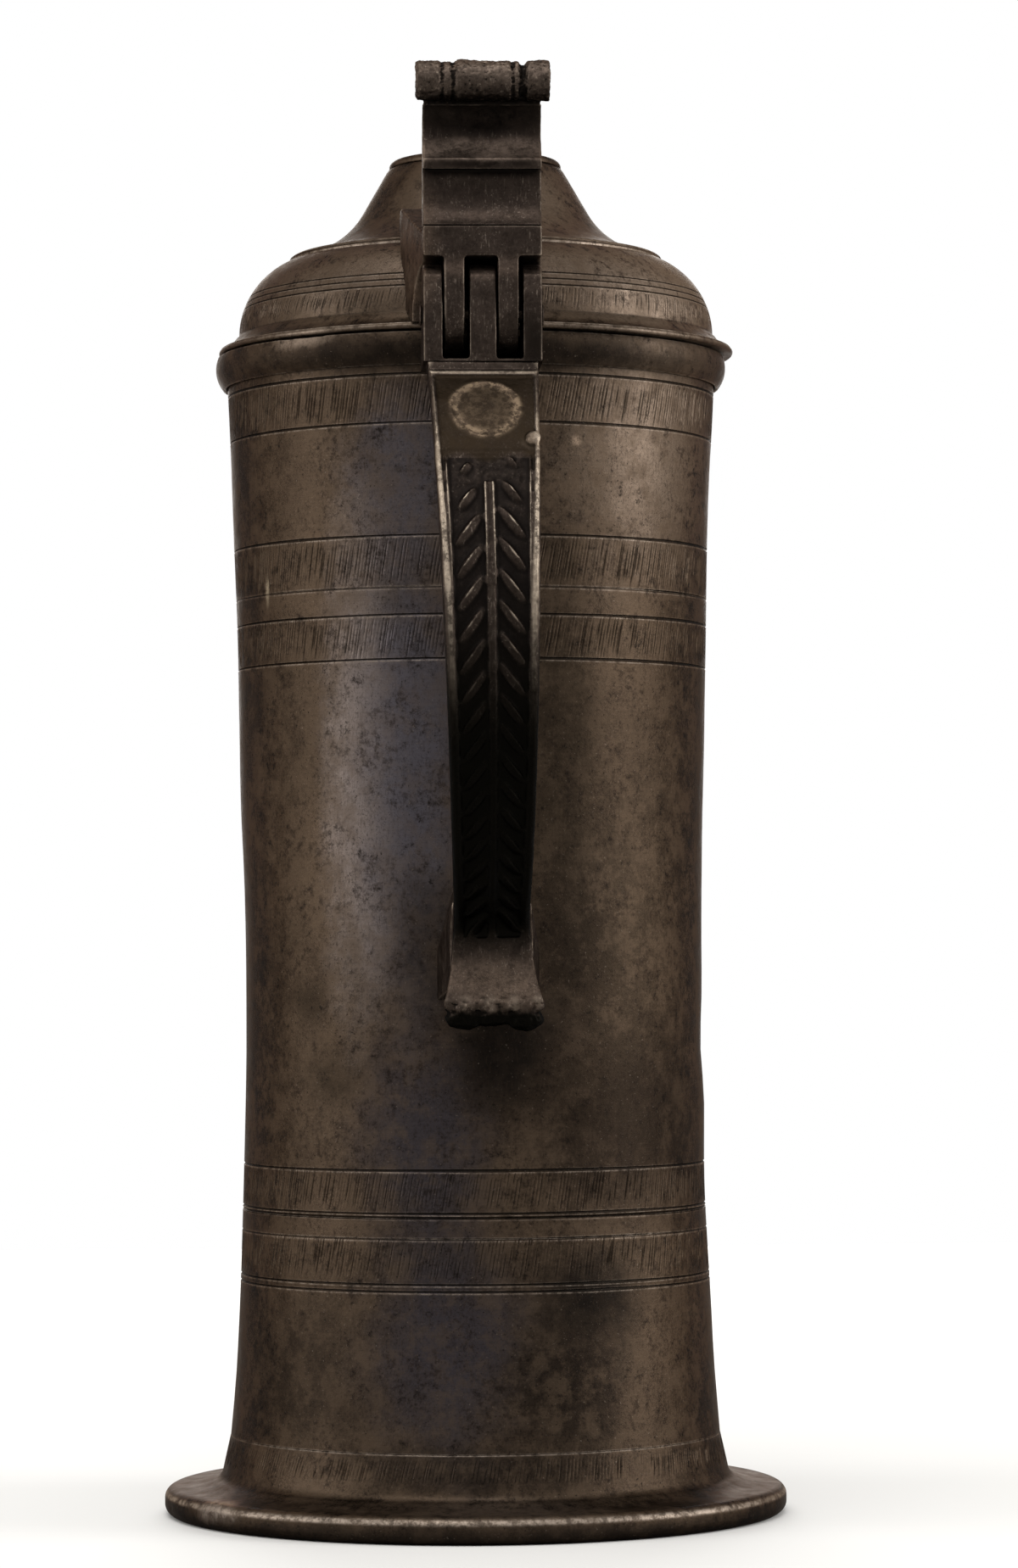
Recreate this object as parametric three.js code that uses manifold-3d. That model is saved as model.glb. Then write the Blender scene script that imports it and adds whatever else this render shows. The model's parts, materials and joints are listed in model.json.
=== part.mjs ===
// A tall lidded flagon in cast and turned pewter, in millimetres, +Z up.
// It stands on a spread foot. The drum is three turned sections soldered end to end, waisted like a
// hyperboloid and finished by a moulded mouth collar. A bow-shaped strap handle with a raised spine and
// leaves carries a three-lug bracket at its top. The domed lid swings on it by two tongues and a pin,
// and is worked by a stepped thumbpiece with a turned roll.
// The handle stands on the -Y side. The origin is the centre of the bounding box's bottom face.
import * as THREE from "three";
import { mergeVertices } from "three/addons/utils/BufferGeometryUtils.js";
import Module from "manifold-3d";

const wasm = await Module();
wasm.setup();

// Facets round a turned piece, and round the hinge pin.
const TURN_STEPS = 48;
const PIN_STEPS = 20;
// Longest facet along the strap.
const STATION_SPACING = 3.2;
// Gap left between two curved pieces that are soldered together.
const SOLDER_GAP = 0.3;
// How far a cut or a joined piece runs past the face that it meets.
const OVERRUN = 1;

// Foot: a cast ring with a spread flange, a rolled rim and a short upstand that carries the drum.
const FOOT_RADIUS = 69.2;
const FOOT_HEIGHT = 17.5;
const FOOT_RIM_THICKNESS = 6.1;
const FOOT_RIM_ROUND = 2.4;
const FOOT_REST_WIDTH = 5.0;
const FOOT_REST_CHAMFER = 1.0;
const FLANGE_SLOPE_RISE = 1.7;
const FLANGE_THICKNESS = 3.2;
const COVE_WIDTH = 2.0;
const COVE_FILLET = 0.9;
const LEDGE_WIDTH = 3.6;
const LEDGE_HEIGHT = 11.4;
const LEDGE_THICKNESS = 2.8;

// Base plate: the floor of the vessel, resting on the foot's inner ledge.
const BASE_THICKNESS = 2.6;
const BASE_BOSS_RADIUS = 12;
const BASE_BOSS_HEIGHT = 0.8;

// Drum: three turned sections with one wall, waisted between the foot and the mouth.
const DRUM_WALL = 2.2;
const DRUM_FOOT_RADIUS = 54.5;
const DRUM_WAIST_RADIUS = 51.0;
const DRUM_MOUTH_RADIUS = 54.8;
const DRUM_WAIST_LEVEL = 106;
const LOWER_DRUM_HEIGHT = 45.8;
const MIDDLE_DRUM_HEIGHT = 139.7;
const UPPER_DRUM_HEIGHT = 53.4;

// Mouth collar: a moulded band capped over the drum's top edge.
const COLLAR_HEIGHT = 7.2;
const COLLAR_LIP_THICKNESS = 1.2;
const COLLAR_LIP_WIDTH = 0.9;
const COLLAR_FOOT_STEP = 0.9;
const COLLAR_BULGE = 2.3;
const COLLAR_CREST_DROP = 2.7;

// Lid: a domed ring with a dished flange, an inner bezel and a soldered crown.
const LID_SEAT_GAP = 0.3;
const LID_OVERHANG = 0.5;
const LID_ASKEW = 1.2;
const LID_WALL = 1.8;
const FLANGE_DISH_WIDTH = 4.5;
const FLANGE_DISH_HEIGHT = 4.4;
const FLANGE_LIP_ROUND = 0.6;
const FLANGE_FILLET = 0.8;
const DOME_HEIGHT = 16.3;
const DOME_TOP_RADIUS = 42.6;
const BEZEL_DEPTH = 5;
const BEZEL_WALL = 1.2;
const BEZEL_CHAMFER = 0.5;
const BEZEL_CLEARANCE = 2.2;
const CROWN_RADIUS = 41.8;
const CROWN_EDGE = 1.4;
const CROWN_EDGE_ROUND = 0.5;
const CROWN_SEAT_WIDTH = 6;
const CROWN_SHELF_WIDTH = 2.4;
const CROWN_SHELF_STEP = 0.4;
const CAVETTO_RADIUS = 19.3;
const CAVETTO_START_ANGLE = 8;
const CROWN_CONE_ANGLE = 60;
const CROWN_CONE_LENGTH = 12;
const CROWN_CAP_ROUND = 1.7;
const CROWN_CAP_HEIGHT = 1.9;

// Hinge: two tongues on the lid between three lugs on the handle, on one pin.
const KNUCKLE_RADIUS = 9.4;
const HINGE_STAND_OFF = 1.5;
const PIN_ABOVE_MOUTH = 1.4;
const OUTER_LUG_WIDTH = 4.1;
const MIDDLE_LUG_WIDTH = 5.7;
const TONGUE_WIDTH = 4.4;
const TONGUE_PLAY = 1.2;
const TONGUE_SIDE_GAP = 0.3;
const SLOT_CLEARANCE = 0.7;
const PIN_RADIUS = 1.6;
const PIN_CLEARANCE = 0.12;
const PIN_HEAD_RADIUS = 2.3;
const PIN_HEAD_THICKNESS = 0.5;
const PIN_HEAD_GAP = 0.1;

// Handle bracket: the arm from the drum that carries the lugs.
const ARM_DROP = 1.8;
const BRACKET_DROP = 11.6;

// Lid strap: the block above the tongues and the wedge that runs over the dome to the crown.
const BLOCK_RISE = 11.4;
const BLOCK_HEIGHT = 6.5;
const BLOCK_DEPTH = 11.5;
const LID_STRAP_LENGTH = 47;
const STRAP_SLOPE_DEPTH = 20;
const STRAP_SLOPE_RISE = 8;
const STRAP_END_LEFT = 16.6;
const STRAP_END_RIGHT = 13.6;

// Thumbpiece: two scooped steps and a turned roll that leans back over the handle.
const LEDGE_RISE = 11.6;
const LEDGE_FACE = 2.3;
const LEDGE_REACH = 0.7;
const LEDGE_UNDERCUT = 2.6;
const LOWER_SCOOP_DEPTH = 2.0;
const UPPER_SCOOP_DEPTH = 3.8;
const FRONT_SWELL = 2.0;
const ROLL_RISE = 30;
const ROLL_RADIUS = 4.6;
const ROLL_REACH = 2.3;
const ROLL_OVERHANG = 1.8;
const ROLL_GROOVE = 0.7;
const ROLL_GROOVE_WIDTH = 1.6;
const END_BARREL_LENGTH = 5.6;

// Handle strap: a bow with edge beads and a spine, ending in a tail that kicks outwards.
const BOW_HEIGHT = 115.4;
const BOW_REACH = 27.5;
const STRAP_SETBACK = 0.4;
const STRAP_THICKNESS = 4.5;
const STRAP_TOP_WIDTH = 23.2;
const STRAP_FOOT_WIDTH = 16;
const TAIL_WIDTH = 22;
const TAIL_CURL_RADIUS = 9;
const TAIL_KICK_ANGLE = 32;
const TAIL_LENGTH = 9;
const EDGE_BEAD_WIDTH = 2.3;
const SPINE_WIDTH = 2.2;
const RELIEF_DEPTH = 0.9;
const BEAD_ROUND = 0.4;
const FLUSH_DEPTH = 0.1;
const STEP_SLOPE = 0.6;
const STRAP_LEAN = 1.6;
const MOULDING_LENGTH = 2.6;
const PANEL_LENGTH = 25;
const PANEL_DEPTH = 0.3;
const SPINE_START = 33;
const PLAIN_FOOT_LENGTH = 4;
const LEAF_PITCH = 6.6;
const LEAF_LENGTH = 7.4;
const LEAF_WIDTH = 1.9;
const LEAF_ANGLE = 36;
const LEAF_MARGIN = 0.4;

// Handle pad: the strut that holds the foot of the strap off the drum.
const PAD_ABOVE_HEEL = 10;
const PAD_BELOW_HEEL = 8;
const PAD_FLARE = 3;
const PAD_DRUM_WIDTH = 22;
const PAD_STRAP_WIDTH = 17;
const PAD_TOP_WIDTH = 15;

const PEWTER = { color: 0x6f675c, metalness: 0.85, roughness: 0.42 };
const DARK_PEWTER = { color: 0x4b463f, metalness: 0.8, roughness: 0.5 };
const PIN_METAL = { color: 0x5a544a, metalness: 0.9, roughness: 0.4 };

// Levels and reaches that follow from the sizes above.
const lowerJoint = FOOT_HEIGHT + LOWER_DRUM_HEIGHT;
const upperJoint = lowerJoint + MIDDLE_DRUM_HEIGHT;
const drumTop = upperJoint + UPPER_DRUM_HEIGHT;
const mouthTop = drumTop + COLLAR_LIP_THICKNESS;
const collarRadius = DRUM_MOUTH_RADIUS + COLLAR_BULGE;
const lidBottom = mouthTop + LID_SEAT_GAP;
const lidRadius = collarRadius + LID_OVERHANG;
const domeRadius = lidRadius - FLANGE_DISH_WIDTH;
const domeBottom = lidBottom + FLANGE_DISH_HEIGHT;
const crownSeat = domeBottom + DOME_HEIGHT;
const pinLevel = mouthTop + PIN_ABOVE_MOUTH;
const pinY = -(lidRadius + HINGE_STAND_OFF + KNUCKLE_RADIUS);
const knuckleFace = pinY - KNUCKLE_RADIUS;
const slotWidth = TONGUE_WIDTH + TONGUE_PLAY;
const hingeWidth = 2 * OUTER_LUG_WIDTH + MIDDLE_LUG_WIDTH + 2 * slotWidth;
const slotStarts = [-hingeWidth / 2 + OUTER_LUG_WIDTH, MIDDLE_LUG_WIDTH / 2];
const bracketBottom = pinLevel - BRACKET_DROP;
const blockBottom = pinLevel + BLOCK_RISE;
const blockTop = blockBottom + BLOCK_HEIGHT;
const rad = THREE.MathUtils.degToRad;
const degrees = THREE.MathUtils.radToDeg;

// The drum's outer radius at a level: one parabola down to the waist and one up from it.
function drumRadius(z) {
  const below = z < DRUM_WAIST_LEVEL;
  const end = below ? FOOT_HEIGHT : drumTop;
  const flare = (below ? DRUM_FOOT_RADIUS : DRUM_MOUTH_RADIUS) - DRUM_WAIST_RADIUS;
  const t = (z - DRUM_WAIST_LEVEL) / (end - DRUM_WAIST_LEVEL);
  return DRUM_WAIST_RADIUS + flare * t * t;
}

// Points [r, z] along an arc, with angles in degrees from +r towards +z.
function arc(r, z, radius, from, to, steps) {
  return Array.from({ length: steps + 1 }, (_, i) => {
    const a = rad(from + ((to - from) * i) / steps);
    return [r + radius * Math.cos(a), z + radius * Math.sin(a)];
  });
}

// A polyline [r, z] moved sideways by a distance, to its right as it runs.
function offset(points, distance) {
  return points.map((p, i) => {
    const a = points[Math.max(i - 1, 0)];
    const b = points[Math.min(i + 1, points.length - 1)];
    const length = Math.hypot(b[0] - a[0], b[1] - a[1]);
    return [p[0] + (distance * (b[1] - a[1])) / length, p[1] - (distance * (b[0] - a[0])) / length];
  });
}

// A turned piece: its section runs anticlockwise in [r, z] and is swept round the axis.
// A section that doesn't touch the axis is closed into a ring.
function turned(section, steps = TURN_STEPS) {
  const points = section.map(([r, z]) => new THREE.Vector2(Math.max(r, 0), z));
  if (points[0].x > 0) points.push(points[0].clone());
  return new THREE.LatheGeometry(points, steps).rotateX(Math.PI / 2);
}

// Points from one to another in side view, with the line between them dished sideways by a depth.
// A positive depth moves its middle to the left of the way it runs.
function dished(from, to, depth, steps) {
  const length = Math.hypot(to[0] - from[0], to[1] - from[1]);
  const aside = [-(to[1] - from[1]) / length, (to[0] - from[0]) / length];
  return Array.from({ length: steps + 1 }, (_, i) => {
    const t = i / steps;
    const sag = 4 * depth * t * (1 - t);
    return from.map((value, k) => THREE.MathUtils.lerp(value, to[k], t) + sag * aside[k]);
  });
}

// The two directions that an outline is drawn in, and the one that it is extruded along.
const X = new THREE.Vector3(1, 0, 0);
const Y = new THREE.Vector3(0, 1, 0);
const Z = new THREE.Vector3(0, 0, 1);
const VIEWS = { side: [Y, Z, X], plan: [X, Y, Z], front: [X, Z, Y.clone().negate()] };

function extruded(view, outline, from, to) {
  const shape = new THREE.Shape(outline.map((point) => new THREE.Vector2(...point)));
  return new THREE.ExtrudeGeometry(shape, { depth: to - from, bevelEnabled: false })
    .translate(0, 0, from)
    .applyMatrix4(new THREE.Matrix4().makeBasis(...VIEWS[view]));
}

// A cylinder along X on the hinge line.
function hingeCylinder(radius, x0, x1, steps = TURN_STEPS) {
  return new THREE.CylinderGeometry(radius, radius, x1 - x0, steps)
    .rotateZ(Math.PI / 2)
    .translate((x0 + x1) / 2, pinY, pinLevel);
}

// A geometry as a manifold solid, for cutting and joining.
function solid(geometry) {
  const bare = geometry.clone();
  bare.deleteAttribute("normal");
  bare.deleteAttribute("uv");
  const merged = mergeVertices(bare, 1e-4);
  const index = merged.index.array;
  const kept = [];
  for (let i = 0; i < index.length; i += 3) {
    const [a, b, c] = [index[i], index[i + 1], index[i + 2]];
    if (a !== b && b !== c && c !== a) kept.push(a, b, c);
  }
  const vertProperties = new Float32Array(merged.attributes.position.array);
  return new wasm.Manifold(
    new wasm.Mesh({ numProp: 3, vertProperties, triVerts: new Uint32Array(kept) }),
  );
}

function geometryOf(made) {
  const mesh = made.getMesh();
  return new THREE.BufferGeometry()
    .setAttribute("position", new THREE.BufferAttribute(new Float32Array(mesh.vertProperties), 3))
    .setIndex(new THREE.BufferAttribute(new Uint32Array(mesh.triVerts), 1));
}

function piece(name, geometry, finish = PEWTER) {
  const mesh = new THREE.Mesh(geometry, new THREE.MeshStandardMaterial(finish));
  mesh.name = name;
  return mesh;
}

// Foot ring: flange, rolled rim, cove and upstand outside, and the base plate's ledge inside.
function footRing() {
  const wallInside = DRUM_FOOT_RADIUS - DRUM_WALL;
  const flangeEdge = FOOT_RADIUS - FOOT_RIM_ROUND;
  const coveFoot = DRUM_FOOT_RADIUS + COVE_WIDTH;
  const flangeTop = FOOT_RIM_THICKNESS + FLANGE_SLOPE_RISE;
  const restInside = flangeEdge - FOOT_REST_WIDTH;
  return turned([
    [restInside, 0],
    ...arc(flangeEdge, FOOT_RIM_ROUND, FOOT_RIM_ROUND, -90, 0, 3),
    ...arc(flangeEdge, FOOT_RIM_THICKNESS - FOOT_RIM_ROUND, FOOT_RIM_ROUND, 0, 90, 3),
    [coveFoot + COVE_FILLET, flangeTop],
    [coveFoot, flangeTop + COVE_FILLET],
    [DRUM_FOOT_RADIUS, FOOT_HEIGHT],
    [wallInside, FOOT_HEIGHT],
    [wallInside, LEDGE_HEIGHT],
    [wallInside - LEDGE_WIDTH, LEDGE_HEIGHT],
    [wallInside - LEDGE_WIDTH, LEDGE_HEIGHT - LEDGE_THICKNESS],
    [coveFoot - COVE_WIDTH, flangeTop - FLANGE_THICKNESS],
    [restInside - FOOT_REST_CHAMFER, FOOT_RIM_THICKNESS - FLANGE_THICKNESS],
  ]);
}

// Base plate: a disc with a low turned boss at its middle.
function basePlate() {
  const edge = DRUM_FOOT_RADIUS - DRUM_WALL - SOLDER_GAP;
  const top = LEDGE_HEIGHT + BASE_THICKNESS;
  return turned([
    [0, LEDGE_HEIGHT],
    [edge, LEDGE_HEIGHT],
    [edge, top],
    [BASE_BOSS_RADIUS, top],
    [BASE_BOSS_RADIUS - BASE_BOSS_HEIGHT, top + BASE_BOSS_HEIGHT],
    [0, top + BASE_BOSS_HEIGHT],
  ]);
}

// One drum section between two levels.
function drumSection(z0, z1, steps) {
  const levels = Array.from({ length: steps + 1 }, (_, i) => z0 + ((z1 - z0) * i) / steps);
  const outer = levels.map((z) => [drumRadius(z), z]);
  const inner = [...levels].reverse().map((z) => [drumRadius(z) - DRUM_WALL, z]);
  return turned([...outer, ...inner]);
}

// The collar's outside, an arc from its foot past its crest up to the mouth.
function collarOutline() {
  const foot = mouthTop - COLLAR_HEIGHT;
  const swell = collarRadius - drumRadius(foot) - COLLAR_FOOT_STEP;
  const rise = COLLAR_HEIGHT - COLLAR_CREST_DROP;
  const round = (rise ** 2 + swell ** 2) / (2 * swell);
  const from = -degrees(Math.asin(rise / round));
  const to = degrees(Math.asin(COLLAR_CREST_DROP / round));
  return arc(collarRadius - round, mouthTop - COLLAR_CREST_DROP, round, from, to, 6);
}

// Mouth collar: it caps the drum's top edge and wraps its outside.
function mouthCollar() {
  const lipInside = DRUM_MOUTH_RADIUS - DRUM_WALL - COLLAR_LIP_WIDTH;
  const foot = mouthTop - COLLAR_HEIGHT;
  return turned([
    ...collarOutline(),
    [lipInside, mouthTop],
    [lipInside, drumTop],
    [DRUM_MOUTH_RADIUS + SOLDER_GAP, drumTop],
    [drumRadius(foot) + SOLDER_GAP, foot],
  ]);
}

// The lid's dished flange and its dome, from the lip up to the crown's seat.
// The dome is an arc that leaves the flange upright and ends on the seat's edge.
const domeInset = domeRadius - DOME_TOP_RADIUS;
const domeArc = (domeInset ** 2 + DOME_HEIGHT ** 2) / (2 * domeInset);
const domeArcEnd = degrees(Math.asin(DOME_HEIGHT / domeArc));

function flangeOutline() {
  return [
    ...arc(lidRadius - FLANGE_LIP_ROUND, lidBottom + FLANGE_LIP_ROUND, FLANGE_LIP_ROUND, -90, 60, 4),
    [domeRadius + FLANGE_FILLET, domeBottom - FLANGE_FILLET],
  ];
}

function domeOutline(wall = 0) {
  return arc(domeRadius - domeArc, domeBottom, domeArc - wall, 0, domeArcEnd, 8);
}

// Lid dome: a turned ring with an inner shelf at the top, where the crown is seated.
function lidDome() {
  const bezelSeat = bezelRadius - BEZEL_WALL;
  const inner = domeOutline(LID_WALL).filter(([, z]) => z < crownSeat - LID_WALL);
  const shelf = CROWN_RADIUS - CROWN_SEAT_WIDTH;
  return turned([
    ...flangeOutline(),
    ...domeOutline(),
    [shelf, crownSeat],
    [shelf, crownSeat - LID_WALL],
    ...inner.reverse(),
    [bezelSeat, lidBottom + LID_WALL],
    [bezelSeat, lidBottom],
  ]);
}

// Lid bezel: the ring under the flange that keeps the closed lid in the mouth.
const bezelRadius = DRUM_MOUTH_RADIUS - DRUM_WALL - COLLAR_LIP_WIDTH - BEZEL_CLEARANCE;

function lidBezel() {
  const inside = bezelRadius - BEZEL_WALL;
  return turned([
    [inside, lidBottom - BEZEL_DEPTH],
    [bezelRadius - BEZEL_CHAMFER, lidBottom - BEZEL_DEPTH],
    [bezelRadius, lidBottom - BEZEL_DEPTH + BEZEL_CHAMFER],
    [bezelRadius, lidBottom],
    [inside, lidBottom],
  ]);
}

// The crown's cavetto and cone, from its shelf up to the cap's shoulder.
function crownBell() {
  const startR = CROWN_RADIUS - CROWN_SHELF_WIDTH;
  const startZ = crownSeat + CROWN_EDGE + CROWN_SHELF_STEP;
  const centreR = startR + CAVETTO_RADIUS * Math.sin(rad(CAVETTO_START_ANGLE));
  const centreZ = startZ + CAVETTO_RADIUS * Math.cos(rad(CAVETTO_START_ANGLE));
  const from = -90 - CAVETTO_START_ANGLE;
  const cavetto = arc(centreR, centreZ, CAVETTO_RADIUS, from, -90 - CROWN_CONE_ANGLE, 6);
  const [neckR, neckZ] = cavetto.at(-1);
  const shoulderR = neckR - CROWN_CONE_LENGTH * Math.cos(rad(CROWN_CONE_ANGLE));
  const shoulderZ = neckZ + CROWN_CONE_LENGTH * Math.sin(rad(CROWN_CONE_ANGLE));
  return [...cavetto, [shoulderR, shoulderZ]];
}

// The crown's outside: edge band, bell and a low cap that ends on the axis.
function crownOutline() {
  const bell = crownBell();
  const [shoulderR, shoulderZ] = bell.at(-1);
  return [
    [CROWN_RADIUS, crownSeat],
    [CROWN_RADIUS, crownSeat + CROWN_EDGE - CROWN_EDGE_ROUND],
    [CROWN_RADIUS - CROWN_EDGE_ROUND, crownSeat + CROWN_EDGE],
    ...bell,
    ...arc(shoulderR - CROWN_CAP_ROUND, shoulderZ, CROWN_CAP_ROUND, 20, 80, 3),
    [0, shoulderZ + CROWN_CAP_HEIGHT],
  ];
}

// Lid crown: a thin turned bell, open below.
function lidCrown() {
  const outer = crownOutline();
  return turned([
    ...outer,
    [0, outer.at(-1)[1] - LID_WALL],
    ...offset(crownBell(), -LID_WALL).reverse(),
    [CROWN_RADIUS - CROWN_SEAT_WIDTH, crownSeat],
  ]);
}

// The outside of drum and collar, and of lid, each with the solder gap, to cut the pieces fixed to them.
function vesselCutter() {
  const levels = Array.from({ length: 25 }, (_, i) => FOOT_HEIGHT + ((mouthTop - FOOT_HEIGHT) * i) / 24);
  const wall = levels.filter((z) => z < mouthTop - COLLAR_HEIGHT).map((z) => [drumRadius(z), z]);
  const outline = offset([...wall, ...collarOutline()], SOLDER_GAP);
  return solid(turned([[0, outline[0][1]], ...outline, [0, outline.at(-1)[1]]]));
}

function lidCutter() {
  const outline = offset([...flangeOutline(), ...domeOutline(), ...crownOutline()], SOLDER_GAP);
  const bottom = outline[0][1];
  outline.at(-1)[0] = 0;
  return solid(turned([[0, bottom], ...outline]).translate(LID_ASKEW, 0, 0));
}

// Handle bracket: an arm from the drum under the lid, with three round lugs and two slots.
function handleBracket() {
  const armTop = mouthTop - ARM_DROP;
  const armRoot = -(DRUM_MOUTH_RADIUS - DRUM_WALL);
  const outline = [
    [armRoot, bracketBottom],
    [armRoot, armTop],
    [pinY + KNUCKLE_RADIUS, armTop],
    ...arc(pinY, pinLevel, KNUCKLE_RADIUS, 0, 180, 16),
    [knuckleFace, bracketBottom],
  ];
  let made = solid(extruded("side", outline, -hingeWidth / 2, hingeWidth / 2));
  const slotRadius = KNUCKLE_RADIUS + SLOT_CLEARANCE;
  for (const x of slotStarts) {
    const slotFloor = pinLevel - slotRadius;
    const mouth = [
      [pinY, slotFloor],
      [pinY, pinLevel],
      [knuckleFace - OVERRUN, pinLevel],
      [knuckleFace - OVERRUN, slotFloor],
    ];
    made = made
      .subtract(solid(hingeCylinder(slotRadius, x, x + slotWidth)))
      .subtract(solid(extruded("side", mouth, x, x + slotWidth)));
  }
  const bore = hingeCylinder(PIN_RADIUS + PIN_CLEARANCE, -hingeWidth, hingeWidth, PIN_STEPS);
  return geometryOf(made.subtract(solid(bore)).subtract(vesselCutter()));
}

// Hinge pin: peened over to a thin head at each end.
function hingePin() {
  const inner = hingeWidth / 2 + PIN_HEAD_GAP;
  const outer = inner + PIN_HEAD_THICKNESS;
  const shaft = solid(hingeCylinder(PIN_RADIUS, -outer, outer, PIN_STEPS));
  const left = solid(hingeCylinder(PIN_HEAD_RADIUS, -outer, -inner, PIN_STEPS));
  const right = solid(hingeCylinder(PIN_HEAD_RADIUS, inner, outer, PIN_STEPS));
  return geometryOf(shaft.add(left).add(right));
}

// Lid strap: the block over the lugs, the flared wedge that lands on the dome, and the two tongues.
function lidStrap() {
  const wedgeEnd = knuckleFace + LID_STRAP_LENGTH;
  const slopeTop = blockTop + STRAP_SLOPE_RISE;
  const slopeStart = knuckleFace + BLOCK_DEPTH;
  const outline = [
    [knuckleFace, blockBottom],
    ...arc(pinY, pinLevel, BLOCK_RISE, 90, 0, 8),
    [wedgeEnd, pinLevel],
    [wedgeEnd, slopeTop],
    [slopeStart + STRAP_SLOPE_DEPTH, slopeTop],
    [slopeStart, blockTop],
    [knuckleFace, blockTop],
  ];
  const half = hingeWidth / 2;
  const flare = [
    [-half, knuckleFace],
    [half, knuckleFace],
    [half, slopeStart],
    [STRAP_END_RIGHT, slopeStart + STRAP_SLOPE_DEPTH],
    [STRAP_END_RIGHT, wedgeEnd],
    [-STRAP_END_LEFT, wedgeEnd],
    [-STRAP_END_LEFT, slopeStart + STRAP_SLOPE_DEPTH],
    [-half, slopeStart],
  ];
  let made = solid(extruded("side", outline, -STRAP_END_LEFT, STRAP_END_RIGHT))
    .intersect(solid(extruded("plan", flare, pinLevel, slopeTop)))
    .subtract(lidCutter());
  const tongueFace = [
    ...arc(pinY, pinLevel, KNUCKLE_RADIUS, -180, 0, 16),
    [pinY + KNUCKLE_RADIUS, blockBottom + OVERRUN],
    [knuckleFace, blockBottom + OVERRUN],
  ];
  for (const x of slotStarts) {
    const left = x + TONGUE_SIDE_GAP;
    made = made.add(solid(extruded("side", tongueFace, left, left + TONGUE_WIDTH)));
  }
  const bore = hingeCylinder(PIN_RADIUS + PIN_CLEARANCE, -hingeWidth, hingeWidth, PIN_STEPS);
  return geometryOf(made.subtract(solid(bore)));
}

// Thumbpiece: two scoops and a ledge behind, a swelling front, and the roll joined on top.
function thumbpiece() {
  const ledgeBottom = blockTop + LEDGE_RISE;
  const ledgeTop = ledgeBottom + LEDGE_FACE;
  const ledgeY = knuckleFace - LEDGE_REACH;
  const rollLevel = blockTop + ROLL_RISE;
  const rollY = knuckleFace - ROLL_REACH;
  const inset = ROLL_RADIUS / 2;
  const outline = [
    ...dished([knuckleFace, blockTop], [knuckleFace + LEDGE_UNDERCUT, ledgeBottom], -LOWER_SCOOP_DEPTH, 4),
    [ledgeY, ledgeBottom],
    ...dished([ledgeY, ledgeTop], [rollY + inset, rollLevel - inset], -UPPER_SCOOP_DEPTH, 6),
    [rollY, rollLevel],
    ...arc(rollY, rollLevel, ROLL_RADIUS, 90, 30, 3),
    ...dished(
      [rollY + ROLL_RADIUS, rollLevel],
      [knuckleFace + BLOCK_DEPTH, blockTop],
      FRONT_SWELL,
      6,
    ),
  ];
  const half = hingeWidth / 2;
  const end = half + ROLL_OVERHANG;
  const inRoll = ROLL_RADIUS - ROLL_GROOVE;
  const grooveStart = end - END_BARREL_LENGTH;
  const grooveEnd = grooveStart - ROLL_GROOVE_WIDTH;
  const halfRoll = [
    [ROLL_RADIUS, grooveEnd],
    [inRoll, grooveEnd + ROLL_GROOVE / 2],
    [inRoll, grooveStart - ROLL_GROOVE / 2],
    [ROLL_RADIUS, grooveStart],
    [ROLL_RADIUS, end - ROLL_GROOVE],
    [ROLL_RADIUS - ROLL_GROOVE, end],
    [0, end],
  ];
  const rollOutline = [...halfRoll.map(([r, x]) => [r, -x]).reverse(), ...halfRoll];
  const roll = turned(rollOutline, 20).rotateY(Math.PI / 2).translate(0, rollY, rollLevel);
  return geometryOf(solid(extruded("side", outline, -half, half)).add(solid(roll)));
}

// The strap's outer line in side view: a circular bow from the bracket down to its foot, then a curl
// the other way and a straight tail. A place along it is a distance s from the bracket.
const bowRadius = ((BOW_HEIGHT / 2) ** 2 + BOW_REACH ** 2) / (2 * BOW_REACH);
const bowHalfAngle = Math.asin(BOW_HEIGHT / 2 / bowRadius);
const bowTopY = knuckleFace + STRAP_SETBACK;
const bowCentre = [bowTopY + bowRadius * Math.cos(bowHalfAngle), bracketBottom - BOW_HEIGHT / 2];
const bowLength = 2 * bowHalfAngle * bowRadius;
const curlAngle = bowHalfAngle + rad(TAIL_KICK_ANGLE);
const curlLength = curlAngle * TAIL_CURL_RADIUS;
const strapLength = bowLength + curlLength + TAIL_LENGTH;
const heelPlace = bowLength + bowHalfAngle * TAIL_CURL_RADIUS;

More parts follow.
